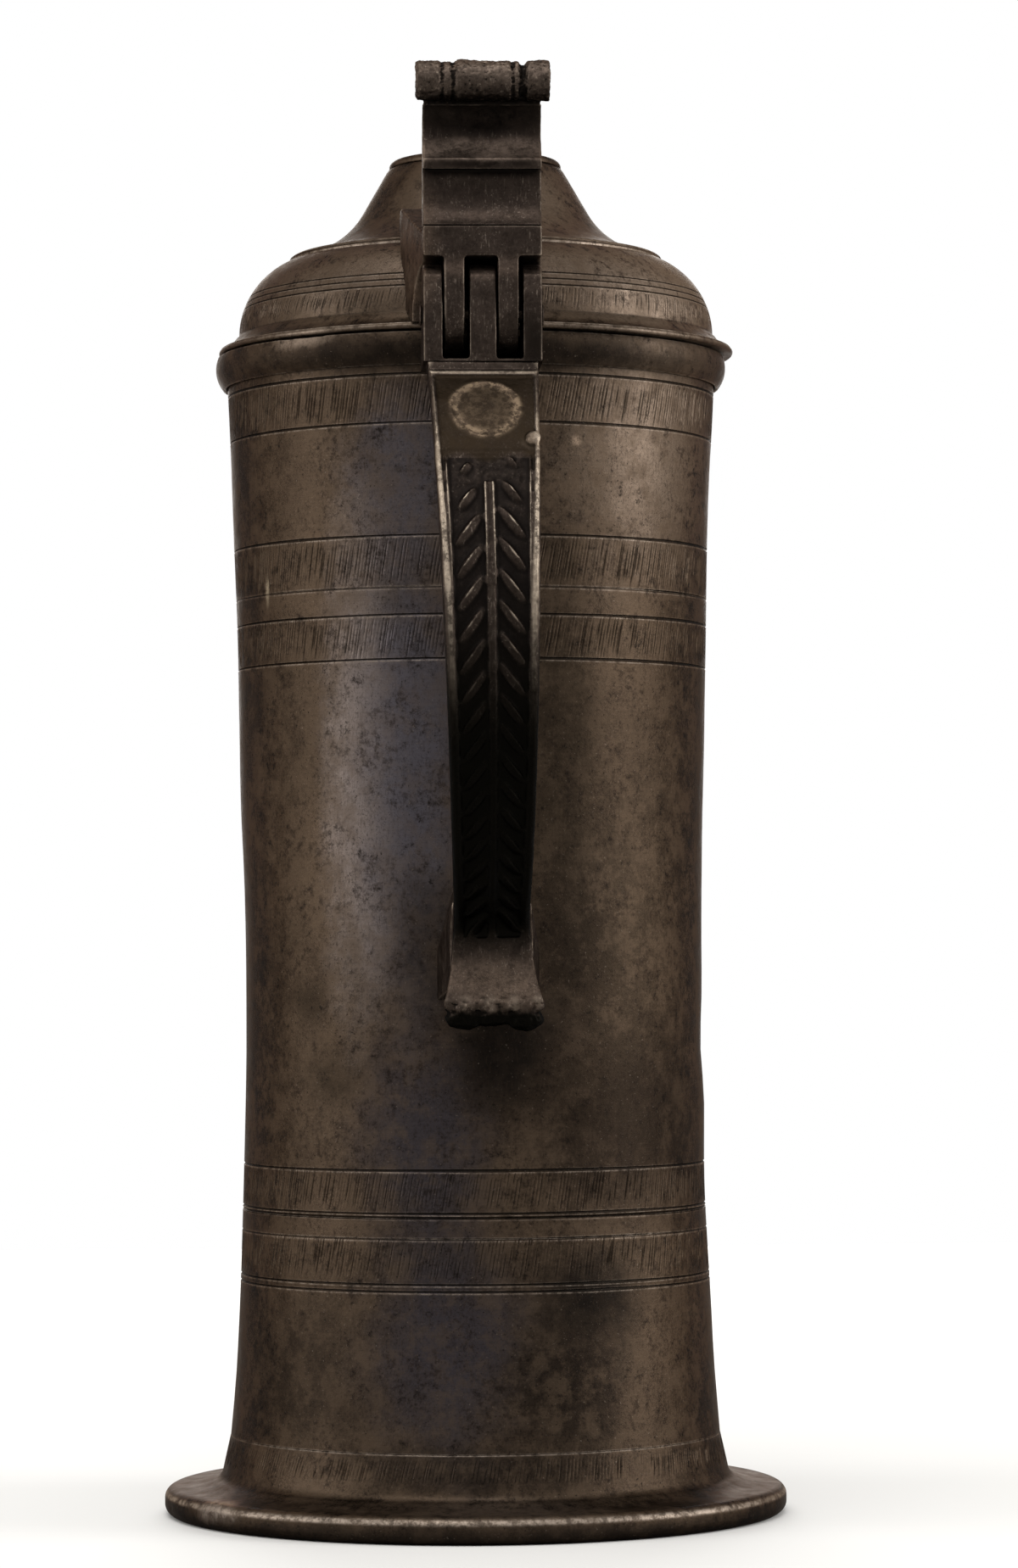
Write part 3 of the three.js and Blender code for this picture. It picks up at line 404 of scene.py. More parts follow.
def pewter(name, metal, coats, stains_and_light=(), turning=0.0):
    """Old pewter: tin with a little lead, cast and then turned or filed, under a brown-grey patina. To
    the eye it is a soft dark metal, mottled in patches of centimetres and of millimetres, black in its
    hollows, with grime and with painted shade, and lighter on its edges, where hands rub it and where
    highlights are painted. Its real grain is 0.1 to 0.3 mm, and is drawn at 0.7 mm so that it shows. A
    spot is a colour round one place: some spots are stains, and many are painted light and shade. A
    coat follows a pattern or a mark. The spots lie on the first two coats, and the others on them."""
    made = bpy.data.materials.new(name)
    made.use_nodes = True
    tree = made.node_tree
    tree.nodes.clear()
    place = node(tree, "ShaderNodeTexCoord").outputs["Object"]
    sources = [source for coat in coats for source in (coat[0], coat[4])]
    used = {"drift", "mottle", "specks", "grain", *sources}
    if turning:
        used.add("rings")
    values = {}
    for pattern, sizes, detail, roughness in PATTERNS:
        if pattern in used:
            shares = tuple(1 / (size * MM) for size in sizes)
            scaled = node(tree, "ShaderNodeVectorMath", {0: place, 1: shares}, operation="MULTIPLY")
            settings = {"Vector": scaled.outputs[0], "Scale": 1.0, "Detail": detail, "Roughness": roughness}
            values[pattern] = node(tree, "ShaderNodeTexNoise", settings).outputs["Fac"]
    for source in sources:
        if source not in values:
            values[source] = node(tree, "ShaderNodeAttribute", attribute_name=source).outputs["Fac"]
    settings = {0: values["drift"].node.outputs["Color"], 1: (0.5, 0.5, 0.5)}
    ragged = node(tree, "ShaderNodeVectorMath", settings, operation="SUBTRACT").outputs[0]
    layers = []
    # Spots of colour round one place: stains, and painted light and shade.
    for centre, reach, tone, strength, patchy in stains_and_light:
        middle = tuple(value * MM for value in centre)
        shares = tuple(1 / (value * MM) for value in reach)
        away = place
        for operation, other in (("SUBTRACT", middle), ("MULTIPLY", shares), ("ADD", ragged)):
            away = node(tree, "ShaderNodeVectorMath", {0: away, 1: other}, operation=operation).outputs[0]
        values[centre] = node(tree, "ShaderNodeVectorMath", {0: away}, operation="LENGTH").outputs["Value"]
        patches = ("mottle", SPOT_WHOLE, SPOT_BROKEN, 1 - patchy)
        layers.append((centre, SPOT_EDGE, SPOT_CORE, strength, *patches, tone))
    layers = (*coats[:UNDERCOATS], *layers, *coats[UNDERCOATS:])
    colour = linear(metal)
    for source, start, full, strength, breaker, whole, broken, left, tone in layers:
        ramps = (
            {"Value": values[source], "From Min": start, "From Max": full, "To Max": strength},
            {"Value": values[breaker], "From Min": whole, "From Max": broken, "To Min": 1.0, "To Max": left},
        )
        both = [node(tree, "ShaderNodeMapRange", ramp, interpolation_type="SMOOTHSTEP") for ramp in ramps]
        settings = {0: both[0].outputs[0], 1: both[1].outputs[0]}
        share = node(tree, "ShaderNodeMath", settings, operation="MULTIPLY").outputs[0]
        settings = {0: share, 6: colour, 7: linear(tone)}
        colour = node(tree, "ShaderNodeMix", settings, data_type="RGBA").outputs[2]
    settings = {"Value": values["mottle"], "From Min": 0.35, "From Max": 0.65}
    gloss = node(tree, "ShaderNodeMapRange", settings | {"To Min": DULL, "To Max": POLISHED})
    heights = node(tree, "ShaderNodeMath", {0: values["grain"], 1: values["specks"]}, operation="ADD")
    settings = {"Height": heights.outputs[0], "Strength": SKIN_SHARE, "Distance": SKIN_RELIEF * MM}
    relief = node(tree, "ShaderNodeBump", settings).outputs[0]
    if turning:
        settings = {"Value": values["rings"], "From Min": 0.3, "From Max": 0.7}
        settings |= {"To Min": 1 - turning, "To Max": 1 + turning}
        lines = node(tree, "ShaderNodeMapRange", settings).outputs[0]
        colour = node(tree, "ShaderNodeVectorMath", {0: colour, "Scale": lines}, operation="SCALE").outputs[0]
        settings = {"Height": values["rings"], "Strength": turning, "Distance": LATHE_RELIEF * MM}
        relief = node(tree, "ShaderNodeBump", settings | {"Normal": relief}).outputs[0]
    settings = {"Base Color": colour, "Metallic": 0.9, "Roughness": gloss.outputs[0], "Normal": relief}
    shader = node(tree, "ShaderNodeBsdfPrincipled", settings | {"Specular Tint": linear("#9a8e82")})
    node(tree, "ShaderNodeOutputMaterial", {"Surface": shader.outputs[0]})
    return made


SLATE = "#424046"
DARK_SLATE = "#2b292e"
# Near black: soot in places, and painted shade and a painted dark reflection on the drum's front.
SOOT_AND_SHADE = "#110e0c"
UMBER = "#241d16"
# Lighter brown: rubbed metal, and a painted highlight where it lies on the lid and the drum's upper right.
RUBBED_AND_LIT = "#6d5f53"
# Black: grime in pits, grooves and creases, and painted shade in the hollows.
GRIME_AND_SHADE = "#0d0b09"
DRUM_STAINS_AND_LIGHT = (
    # middle [x, back, up], reach, colour, strength, how patchy
    ((0, 18, 0), (110, 110, 92), "#1d1712", 0.6, 0.35),
    # Painted highlights: the lid lighter all round its dome, and lighter still on its right side, on the
    # crown and on the drum's upper right.
    ((0, 18, 272), (90, 90, 13), RUBBED_AND_LIT, 0.55, 0.5),
    ((44, -10, 271), (26, 34, 15), "#7b6c5f", 0.7, 0.4),
    ((12, -8, 289), (30, 34, 13), "#7b6c5f", 0.35, 0.4),
    ((40, -15, 236), (26, 34, 30), RUBBED_AND_LIT, 0.5, 0.5),
    # Painted sheen: a lighter strip and slate-blue patches down the drum's front, left of the handle, down to
    # the dark slate-blue low down.
    ((-25, -26, 165), (9, 20, 58), "#6a605b", 0.75, 0.4),
    ((-15, -33, 168), (12, 30, 56), SLATE, 0.8, 0.3),
    ((-15, -33, 228), (14, 30, 18), SLATE, 0.6, 0.4),
    ((-12, -33, 84), (15, 30, 26), DARK_SLATE, 0.8, 0.4),
    ((-8, -33, 40), (18, 30, 26), DARK_SLATE, 0.85, 0.4),
    # Painted dark reflection: the drum's front middle darker.
    ((5, -33, 104), (15, 30, 17), SOOT_AND_SHADE, 1.0, 0.1),
    ((20, -33, 127), (10, 30, 22), SOOT_AND_SHADE, 0.85, 0.5),
    ((17, -31, 166), (9, 30, 48), UMBER, 0.9, 0.3),
    # Painted dark reflection, left of the front middle.
    ((-11, -33, 125), (8, 30, 18), SOOT_AND_SHADE, 0.7, 0.3),
    ((33, -24, 88), (21, 30, 22), "#1a1410", 1.0, 0.3),
    ((22, -28, 50), (14, 30, 12), SOOT_AND_SHADE, 1.0, 0.15),
    ((19, -28, 33), (16, 30, 18), SOOT_AND_SHADE, 0.85, 0.6),
    ((-38, -20, 34), (16, 30, 20), "#1d1712", 0.85, 0.5),
    # Painted shade: the two dents at the front left darker.
    ((-37, -20, 114), (5, 20, 5), UMBER, 0.8, 0.2),
    ((-32, -25, 97), (7, 20, 6), UMBER, 0.85, 0.4),
    ((30, -25, 120), (18, 30, 55), UMBER, 0.75, 0.9),
    ((46, 40, 120), (30, 40, 45), UMBER, 0.6, 0.8),
    ((-40, 50, 60), (30, 40, 40), SOOT_AND_SHADE, 0.5, 0.9),
    ((5, 70, 190), (34, 30, 36), SLATE, 0.6, 0.5),
    # Painted shade: a dark band round the front, under the collar's swell.
    ((0, -38, 253), (90, 40, 4.8), "#120e0b", 0.97, 0.15),
    ((-37, -24, 257.4), (7.5, 12, 2.2), "#6f6155", 0.9, 0.2),
    ((-45.6, -8.1, 203.5), (0.45, 4, 3.6), "#9a8b76", 0.6, 0.3),
    ((21, -31.8, 234.2), (1.2, 3, 1.2), "#7c6a5a", 0.8, 0.0),
    ((0, -36, 14), (30, 20, 6), SOOT_AND_SHADE, 0.6, 0.5),
    # Painted shade: the underside of the foot's rim dark all round.
    ((0, 18, 0), (200, 200, 4.4), "#120f0d", 0.93, 0.2),
    ((-57.6, -20, 4.5), (7, 8, 3.0), "#8d8178", 0.8, 0.8),
    ((2, -43, 6), (22, 9, 3.0), "#6a5c50", 0.6, 0.5),
)
TURNED_COATS = (
    # pattern or mark, where it starts, where it is full, strength there, pattern that breaks it, where
    # it is whole, where it is broken, share left there, colour
    ("clouds", 0.36, 0.64, 0.55, "mottle", 0.6, 0.4, 0.4, "#271f18"),
    ("mottle", 0.4, 0.62, 0.55, "grain", 0.6, 0.4, 0.4, "#271f18"),
    ("scratches", 0.53, 0.68, 0.42, "mottle", 0.62, 0.42, 0.3, "#271f18"),
    ("specks", 0.46, 0.6, 0.55, "drift", 0.58, 0.46, 0.12, "#1a1410"),
    ("grain", 0.5, 0.66, 0.4, "mottle", 0.6, 0.42, 0.2, "#1a1410"),
    ("specks", 0.56, 0.67, 0.85, "mottle", 0.62, 0.44, 0.3, GRIME_AND_SHADE),
    ("glints", 0.36, 0.28, 0.8, "clouds", 0.6, 0.4, 0.3, GRIME_AND_SHADE),
    ("cut", 0.0, 1.0, 0.78, "grain", 0.7, 0.3, 0.65, GRIME_AND_SHADE),
    # hollows and creases darker: grime, and painted shade
    ("hollow_grime_and_shade", -0.02, -0.3, 0.85, "grain", 0.7, 0.3, 0.9, GRIME_AND_SHADE),
    ("wear_and_highlight", -0.03, -0.2, 0.9, "grain", 0.7, 0.3, 0.9, GRIME_AND_SHADE),
    # edges lighter: rubbed, and painted highlights where they are marked
    ("wear_and_highlight", 0.07, 0.34, 1.0, "specks", 0.38, 0.6, 0.2, "#8b7e72"),
    ("glints", 0.66, 0.78, 0.13, "hollow_grime_and_shade", 0.0, -0.3, 0.0, "#9a8c7e"),
)
turned_pewter = pewter("turned_pewter", "#44382d", TURNED_COATS, DRUM_STAINS_AND_LIGHT, turning=0.07)
CAST_METAL = "#322a25"
# Painted light and shade on the castings, each round one place.
CAST_LIGHT_AND_SHADE = (
    # Painted shade under the thumbpiece's roll.
    ((0, -58, 299.8), (24, 12, 4.2), "#040303", 1.0, 0.0),
    # Painted highlight low in the upper hollow, where it turns up above the ledge.
    ((0, -58, 291.8), (20, 12, 3.6), "#8b796c", 0.9, 0.3),
    # Painted shade on the ledge's face, and a painted shadow under the ledge.
    ((0, -61, 289.6), (20, 4, 1.6), "#0d0a08", 1.0, 0.2),
    ((0, -55, 288.7), (40, 4.2, 1.6), "#040303", 1.0, 0.0),
    # Painted highlight at the foot of the lower hollow, and painted shade at its top under the ledge.
    ((0, -60, 278.9), (20, 6, 2.2), "#5d4f46", 0.5, 0.5),
    ((0, -61, 283.5), (20, 6, 3.6), "#1a1512", 0.85, 0.3),
    # Painted highlight on the lugs' upturned tops.
    ((0, -58, 268), (14, 7, 2.4), "#64554b", 0.7, 0.4),
    # The right lug darker.
    ((11, -60, 252), (4, 6, 9), GRIME_AND_SHADE, 0.9, 0.3),
    # Painted highlight along the roll's top, and painted shade along its underside.
    ((0, -60, 309), (30, 8, 5), "#87776a", 0.9, 0.75),
    ((0, -60, 302.8), (30, 8, 2.8), "#080605", 0.95, 0.2),
    # Painted light on the lid strap's left flank.
    ((-15, -35, 272), (7, 34, 16), "#5d4d40", 0.9, 0.4),
)
CAST_COATS = (
    ("scratches", 0.56, 0.74, 0.42, "mottle", 0.4, 0.6, 0.25, "#8a7d70"),
    ("glints", 0.6, 0.78, 0.4, "mottle", 0.42, 0.58, 0.2, "#9a8c7e"),
    ("mottle", 0.4, 0.62, 0.6, "grain", 0.6, 0.4, 0.6, "#1f1915"),
    ("specks", 0.42, 0.6, 0.5, "grain", 0.6, 0.4, 0.5, "#17120f"),
    # hollows and creases darker: grime, and painted shade
    ("hollow_grime_and_shade", -0.02, -0.3, 0.9, "grain", 0.7, 0.3, 0.9, "#0a0807"),
    ("wear_and_highlight", -0.02, -0.2, 0.95, "grain", 0.7, 0.3, 0.9, "#0a0807"),
    # edges lighter: rubbed, and on the strap painted highlights too
    ("wear_and_highlight", 0.07, 0.5, 0.75, "drift", 0.44, 0.57, 0.22, "#8d7f70"),
    ("wear_and_highlight", 0.22, 0.6, 0.85, "specks", 0.44, 0.56, 0.1, "#a69887"),
)
cast_pewter = pewter("cast_pewter", CAST_METAL, CAST_COATS, CAST_LIGHT_AND_SHADE)

wall_inside = DRUM_FOOT_RADIUS - DRUM_WALL
flange_edge = FOOT_RADIUS - FOOT_RIM_ROUND
FOOT_BANDS = ((11.3, 16.9),)
FOOT_RIM_HIGHLIGHT = 0.3
FOOT_HIGHLIGHT_LEVEL = 4.8
foot_slant = hatch_slant(FOOT_BANDS)
foot_profile = [
    (flange_edge - 5, 0),
    *arc(flange_edge, FOOT_RIM_ROUND, FOOT_RIM_ROUND, -90, 0, 8),
    *arc(flange_edge, FOOT_RIM - FOOT_RIM_ROUND, FOOT_RIM_ROUND, 0, 90, 8),
    *curve([(66.3, 6.12), (61, 6.3), (58.4, 7.7)], 8),
    *curve([(58.0, 7.8), (56.6, 8.2), (56.3, 9.6)], 6),
    *[(56.3 - (z - 9.6) * 0.225, z) for z in (10.6, 11.3, 12, 13, 14, 15, 16, 16.9)],
    (DRUM_FOOT_RADIUS + 0.1, 17.2),
    (DRUM_FOOT_RADIUS - 0.1, FOOT_HEIGHT),
    (wall_inside, FOOT_HEIGHT),
    (wall_inside, 11.4),
    (wall_inside - 3.6, 11.4),
    (wall_inside - 3.6, 8.6),
    (DRUM_FOOT_RADIUS, 4.6),
    (flange_edge - 6, 2.9),
]
foot = turned("foot", foot_profile, slant=foot_slant)
hatch(foot, FOOT_BANDS, foot_slant, seed=3, broken=0.5)
foot_places = points_of(foot)
foot_reach = np.hypot(foot_places[:, 0], foot_places[:, 1] - AXIS_Y)
# A painted highlight along the side of the foot's rounded rim.
foot_rim_lit = (foot_reach > flange_edge - 0.3) * band(foot_places[:, 2], FOOT_HIGHLIGHT_LEVEL, 0.6)
mark_wear_and_highlight(foot, FOOT_RIM_HIGHLIGHT * foot_rim_lit)
smooth(foot)
foot.data.materials.append(turned_pewter)
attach(foot, "vessel")
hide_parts("foot_ring")

# Base plate: the vessel's floor, a turned disc let into the foot, with a low boss at its middle and
# the lathe's rings on both faces.
base_profile = [(0, 11.4), *[(r, 11.4 + 0.12 * (i % 2)) for i, r in enumerate(range(4, 52, 3))], (52, 11.4)]
base_profile += [(52, 14), *[(r, 14 - 0.12 * (i % 2)) for i, r in enumerate(range(50, 13, -3))]]
base_profile += [(12, 14), (11.2, 14.8), (3, 14.7), (0, 14.8)]
base = turned("base", base_profile, turns=192)
mark_wear_and_highlight(base)
smooth(base)
base.data.materials.append(turned_pewter)
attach(base, "vessel")
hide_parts("base_plate")

# Drum: three sections cast flat, rolled and soldered end to end, then turned as one. Engraved lines
# frame five bands of slanting file strokes, and each line has a raised lip below it.
DRUM_WAIST_RADIUS = 51.0
DRUM_MOUTH_RADIUS = 54.8
DRUM_WAIST_LEVEL = 106
LOWER_JOINT = 63.3
UPPER_JOINT = 203.0
DRUM_TOP = 256.4
LINE_SHAPE = ((0.6, 0.0), (0.17, 0.0), (0.0, -0.22), (-0.2, -0.18), (-0.5, 0.03), (-1.1, 0.0))
SEAM_TOP = ((0.0, -0.14), (-0.2, -0.13), (-0.5, 0.02), (-1.1, 0.0))
SEAM_FOOT = ((0.0, -0.14), (0.14, 0.0), (0.6, 0.0))
ROW_SPACING = 6.0
BAND_ROW_SPACING = 1.3
LIP_HIGHLIGHT = 0.1
WAVE_DEPTH = 0.9
WAVE_LENGTH = 46
WAVE_FADE = 16
DENTS = (
    # middle [x, back, up], reach, depth
    ((-36.5, -35.5, 114), 5.5, 0.35), ((-33, -38.5, 97), 7, 0.4), ((49, -10, 92), 9, -0.45),
    ((51, -4, 104), 8, 0.4), ((-50, -6, 158), 14, -0.4), ((-35, -36, 172), 7, -0.3),
    ((24, -45, 150), 16, 0.5), ((-46, 20, 60), 10, 0.5), ((30, 40, 150), 12, 0.6),
    ((-8, 50, 90), 9, 0.4), ((21, -49.7, 234.2), 0.9, -0.3),
)


def drum_radius(z):
    below = z < DRUM_WAIST_LEVEL
    end = FOOT_HEIGHT if below else DRUM_TOP
    flare = (DRUM_FOOT_RADIUS if below else DRUM_MOUTH_RADIUS) - DRUM_WAIST_RADIUS
    return DRUM_WAIST_RADIUS + flare * ((z - DRUM_WAIST_LEVEL) / (end - DRUM_WAIST_LEVEL)) ** 2


def drum_wall(low, high, lines, bands):
    """The outside of a section, bottom up: its seams, its engraved lines, and rows between them."""
    cuts = [(low + rise, depth) for rise, depth in SEAM_FOOT]
    cuts += [(high + rise, depth) for rise, depth in SEAM_TOP]
    for line in lines:
        cuts = [cut for cut in cuts if not line - 0.9 < cut[0] < line + 0.55]
        cuts += [(line + rise, depth) for rise, depth in LINE_SHAPE]
    cuts.sort()
    rows = []
    for (z, depth), (z_next, _) in zip(cuts, cuts[1:]):
        rows.append((drum_radius(z) + depth, z))
        middle = (z + z_next) / 2
        spacing = BAND_ROW_SPACING if any(a < middle < b for a, b in bands) else ROW_SPACING
        count = max(1, round((z_next - z) / spacing))
        levels = [z + (z_next - z) * i / count for i in range(1, count)]
        rows += [(drum_radius(level), level) for level in levels]
    return rows + [(drum_radius(high) + cuts[-1][1], high)]


DRUM_SECTIONS = (
    # name, CAD node, bottom, top, engraved lines, bands of strokes, share of the strokes that is broken
    ("drum_foot_section", "drum_lower", FOOT_HEIGHT, LOWER_JOINT, (53.6, 52.1), ((54.2, 62.9),), 0.7),
    ("drum_middle_section", "drum_middle", LOWER_JOINT, UPPER_JOINT, (67.8, 68.7, 77.9, 187.6, 197.1),
     ((69.2, 77.4), (188.0, 196.6)), 0.35),
    ("drum_mouth_section", "drum_upper", UPPER_JOINT, DRUM_TOP, (214.1, 238.3, 248.7),
     ((203.4, 213.6), (238.6, 248.2)), 0.1),
)
waves = bpy.data.textures.new("waves", "CLOUDS")
waves.noise_scale = WAVE_LENGTH * MM
waves.noise_depth = 1
for seed, (name, cad_node, low, high, lines, bands, broken) in enumerate(DRUM_SECTIONS):
    slant = hatch_slant(bands)
    inside = [(drum_radius(z) - DRUM_WALL, z) for z in np.linspace(high, low, 6)]
    section = turned(name, drum_wall(low, high, lines, bands) + inside, slant=slant)
    hatch(section, bands, slant, seed, broken=broken, lines=(*lines, high))
    levels = points_of(section)[:, 2]
    # A painted highlight on the raised lip below each engraved line and below the section's top.
    lips = np.any([abs(levels - line + 0.5) < 0.05 for line in (*lines, high)], 0) * piece_outside(section)
    mark_wear_and_highlight(section, LIP_HIGHLIGHT * lips)
    from_ends = np.minimum(levels - FOOT_HEIGHT, DRUM_TOP - 6 - levels)
    fade = np.clip(from_ends / WAVE_FADE, 0, 1) * piece_outside(section)
    displaced(section, "waves", WAVE_DEPTH, 0.5, fade, waves)
    for (x, back, up), reach, depth in DENTS:
        if low - reach < up < high + reach:
            dent(section, (x, AXIS_Y + back, up), reach, depth)
    smooth(section)
    section.data.materials.append(turned_pewter)
    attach(section, "vessel")
    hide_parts(cad_node)

# Collar: a cast band of pewter, soldered over the drum's mouth and turned to a swelling moulding. The
# shut lid rests on its flat top.
MOUTH_TOP = 257.6
COLLAR_FOOT = 250.4
COLLAR_RADIUS = 57.1
COLLAR_CREST = 254.9
swell = COLLAR_RADIUS - drum_radius(COLLAR_FOOT) - 0.9
rise = COLLAR_CREST - COLLAR_FOOT
collar_round = (rise**2 + swell**2) / (2 * swell)
collar_start = -math.degrees(math.asin(rise / collar_round))
collar_end = math.degrees(math.asin((MOUTH_TOP - COLLAR_CREST) / collar_round))
collar_profile = [
    (drum_radius(COLLAR_FOOT) + 0.3, COLLAR_FOOT + 0.15),
    (drum_radius(COLLAR_FOOT) + 0.7, COLLAR_FOOT),
    *arc(COLLAR_RADIUS - collar_round, COLLAR_CREST, collar_round, collar_start + 2, collar_end - 2, 14),
    (COLLAR_RADIUS - 1.0, MOUTH_TOP),
    (51.9, MOUTH_TOP),
    (51.7, MOUTH_TOP - 0.2),
    (51.7, DRUM_TOP),
    (DRUM_MOUTH_RADIUS + 0.3, DRUM_TOP),
]
CHIPS = (
    # middle [x, back, up], reach, depth
    ((-37.0, -43.3, 257.2), 2.6, 0.25),
    ((-40.6, -39.6, 256.9), 2.0, 0.2),
    ((-34, -45.5, 257.3), 1.2, 0.2),
)
collar = turned("collar", collar_profile, turns=720)
mark_wear_and_highlight(collar)
for (x, back, up), reach, depth in CHIPS:
    dent(collar, (x, AXIS_Y + back, up), reach, depth)
smooth(collar)
collar.data.materials.append(turned_pewter)
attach(collar, "vessel")
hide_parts("mouth_collar")

# Lid dome: a turned ring with a dished flange that overhangs the collar. Above the flange runs a band
# of strokes under three fine lines, and the wall then rounds over to the crown's seat.
LID_SHIFT = 1.2
LID_BOTTOM = 257.9
LID_RADIUS = 57.6
DOME_RADIUS = 53.1
DOME_BOTTOM = 262.3
CROWN_SEAT = 278.6
DOME_TOP_RADIUS = 42.6
LID_WALL = 1.8
DOME_LINES = (268.1, 269.5, 270.9)
DOME_BANDS = ((263.3, 267.4),)
RIM_LEVEL = 259.1
RIM_HIGHLIGHT = 0.14
dome_inset = DOME_RADIUS - DOME_TOP_RADIUS
dome_height = CROWN_SEAT - DOME_BOTTOM
dome_arc = (dome_inset**2 + dome_height**2) / (2 * dome_inset)
dome_centre = DOME_RADIUS - dome_arc


def dome_point(z, depth=0.0):
    """The dome's outside at a level, moved out along its normal."""
    lift = math.asin(min(1.0, (z - DOME_BOTTOM) / dome_arc))
    reach = dome_arc + depth
    return (dome_centre + reach * math.cos(lift), DOME_BOTTOM + reach * math.sin(lift))


dome_cuts = [(z, 0.0) for z in (*np.arange(262.6, 267.5, 0.8), 272.0, 273.2, 274.4, 275.6, 276.7, 277.6)]
for line in DOME_LINES:
    dome_cuts += [(line + rise * 0.7, depth * 0.7) for rise, depth in LINE_SHAPE]
dome_slant = hatch_slant(DOME_BANDS)
dome_profile = [
    *arc(LID_RADIUS - 0.6, LID_BOTTOM + 0.6, 0.6, -90, 60, 6),
    *curve([(57.2, 259.25), (55.1, 259.7), (53.9, 261.5)], 7),
    (53.3, 262.0),
    (DOME_RADIUS, DOME_BOTTOM),
    *[dome_point(z, depth) for z, depth in sorted(dome_cuts)],
    (DOME_TOP_RADIUS, CROWN_SEAT),
    (35.8, CROWN_SEAT),
    (35.8, CROWN_SEAT - LID_WALL),
    *[dome_point(z, -LID_WALL) for z in (276.6, 272, 268, 264)],
    (DOME_RADIUS - LID_WALL, DOME_BOTTOM),
    (48.3, LID_BOTTOM + LID_WALL),
    (48.3, LID_BOTTOM),
]
dome = turned("dome", dome_profile, slant=dome_slant, shift=LID_SHIFT)
hatch(dome, DOME_BANDS, dome_slant, seed=9, shift=LID_SHIFT, broken=0.2, lines=DOME_LINES)
dome_places = points_of(dome)
dome_levels = dome_places[:, 2]
dome_reach = np.hypot(dome_places[:, 0] - LID_SHIFT, dome_places[:, 1] - AXIS_Y)
# Painted highlights on the lips below the three fine lines, and round the flange's rim.
dome_lips = np.any([abs(dome_levels - line + 0.35) < 0.08 for line in DOME_LINES], 0) * piece_outside(dome)
rim = (dome_reach > LID_RADIUS - 2.1) * band(dome_levels, RIM_LEVEL, 0.5)
mark_wear_and_highlight(dome, LIP_HIGHLIGHT * dome_lips + RIM_HIGHLIGHT * rim)
smooth(dome)
dome.data.materials.append(turned_pewter)
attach(dome, "lid")
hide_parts("lid_dome")

# Bezel: a turned ring of pewter, soldered below the flange. It stands just inside the mouth, and so
# keeps the shut lid in its place.
BEZEL_RADIUS = 49.5
bezel_profile = [
    (BEZEL_RADIUS - 1.2, LID_BOTTOM - 4.8),
    (BEZEL_RADIUS - 1.0, LID_BOTTOM - 5),
    *arc(BEZEL_RADIUS - 0.5, LID_BOTTOM - 4.5, 0.5, -90, 0, 4),
    (BEZEL_RADIUS, LID_BOTTOM),
    (BEZEL_RADIUS - 1.2, LID_BOTTOM),
]
bezel = turned("bezel", bezel_profile, turns=256, shift=LID_SHIFT)
mark_wear_and_highlight(bezel)
smooth(bezel)
bezel.data.materials.append(turned_pewter)
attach(bezel, "lid")
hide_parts("lid_bezel")

# Crown: a thin bell, cast and turned, soldered on the dome. Its edge band has two fine lines, and a
# groove parts the bell from the low cap.
CROWN_RADIUS = 41.8
CAVETTO_RADIUS = 19.3
CAVETTO_START = 8
CAVETTO_END = 60
CONE_LENGTH = 12
start_r = CROWN_RADIUS - 2.4
start_z = CROWN_SEAT + 1.8
centre_r = start_r + CAVETTO_RADIUS * math.sin(math.radians(CAVETTO_START))
centre_z = start_z + CAVETTO_RADIUS * math.cos(math.radians(CAVETTO_START))
bell = arc(centre_r, centre_z, CAVETTO_RADIUS, -90 - CAVETTO_START, -90 - CAVETTO_END, 24)
neck_r, neck_z = bell[-1]
shoulder_r = neck_r - CONE_LENGTH * math.cos(math.radians(CAVETTO_END))
shoulder_z = neck_z + CONE_LENGTH * math.sin(math.radians(CAVETTO_END))
cone = [(neck_r + (shoulder_r - neck_r) * t, neck_z + (shoulder_z - neck_z) * t) for t in (0.3, 0.6, 0.9)]
bell_line = [*bell[8:], *cone, (shoulder_r, shoulder_z)]
bell_inside = [(r - LID_WALL * 0.86, z - LID_WALL * 0.5) for r, z in reversed(bell_line)]
crown_profile = [
    (0, shoulder_z + 1.9),
    (6, shoulder_z + 1.86),
    (12, shoulder_z + 1.78),
    (16.4, shoulder_z + 1.7),
    *reversed(arc(shoulder_r - 1.7, shoulder_z, 1.7, 20, 80, 6)),
    (shoulder_r - 0.1, shoulder_z + 0.1),
    (shoulder_r - 0.35, shoulder_z - 0.2),
    (shoulder_r + 0.1, shoulder_z - 0.4),
    *reversed(cone),
    *reversed(bell),
    (start_r + 0.4, start_z - 0.2),
    (start_r + 0.9, start_z - 0.45),
    (start_r + 1.3, start_z - 0.4),
    (CROWN_RADIUS - 0.5, CROWN_SEAT + 1.4),
    (CROWN_RADIUS - 0.1, CROWN_SEAT + 1.1),
    (CROWN_RADIUS - 0.22, CROWN_SEAT + 0.8),
    (CROWN_RADIUS, CROWN_SEAT + 0.6),
    (CROWN_RADIUS, CROWN_SEAT),
    (35.8, CROWN_SEAT),
    (35.8, CROWN_SEAT + 0.2),
    *reversed(bell_inside),
    (0, shoulder_z + 1.9 - LID_WALL),
]
crown = turned("crown", crown_profile, turns=360, shift=LID_SHIFT)
mark_wear_and_highlight(crown)
smooth(crown)
crown.data.materials.append(turned_pewter)
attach(crown, "lid")
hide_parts("lid_crown")

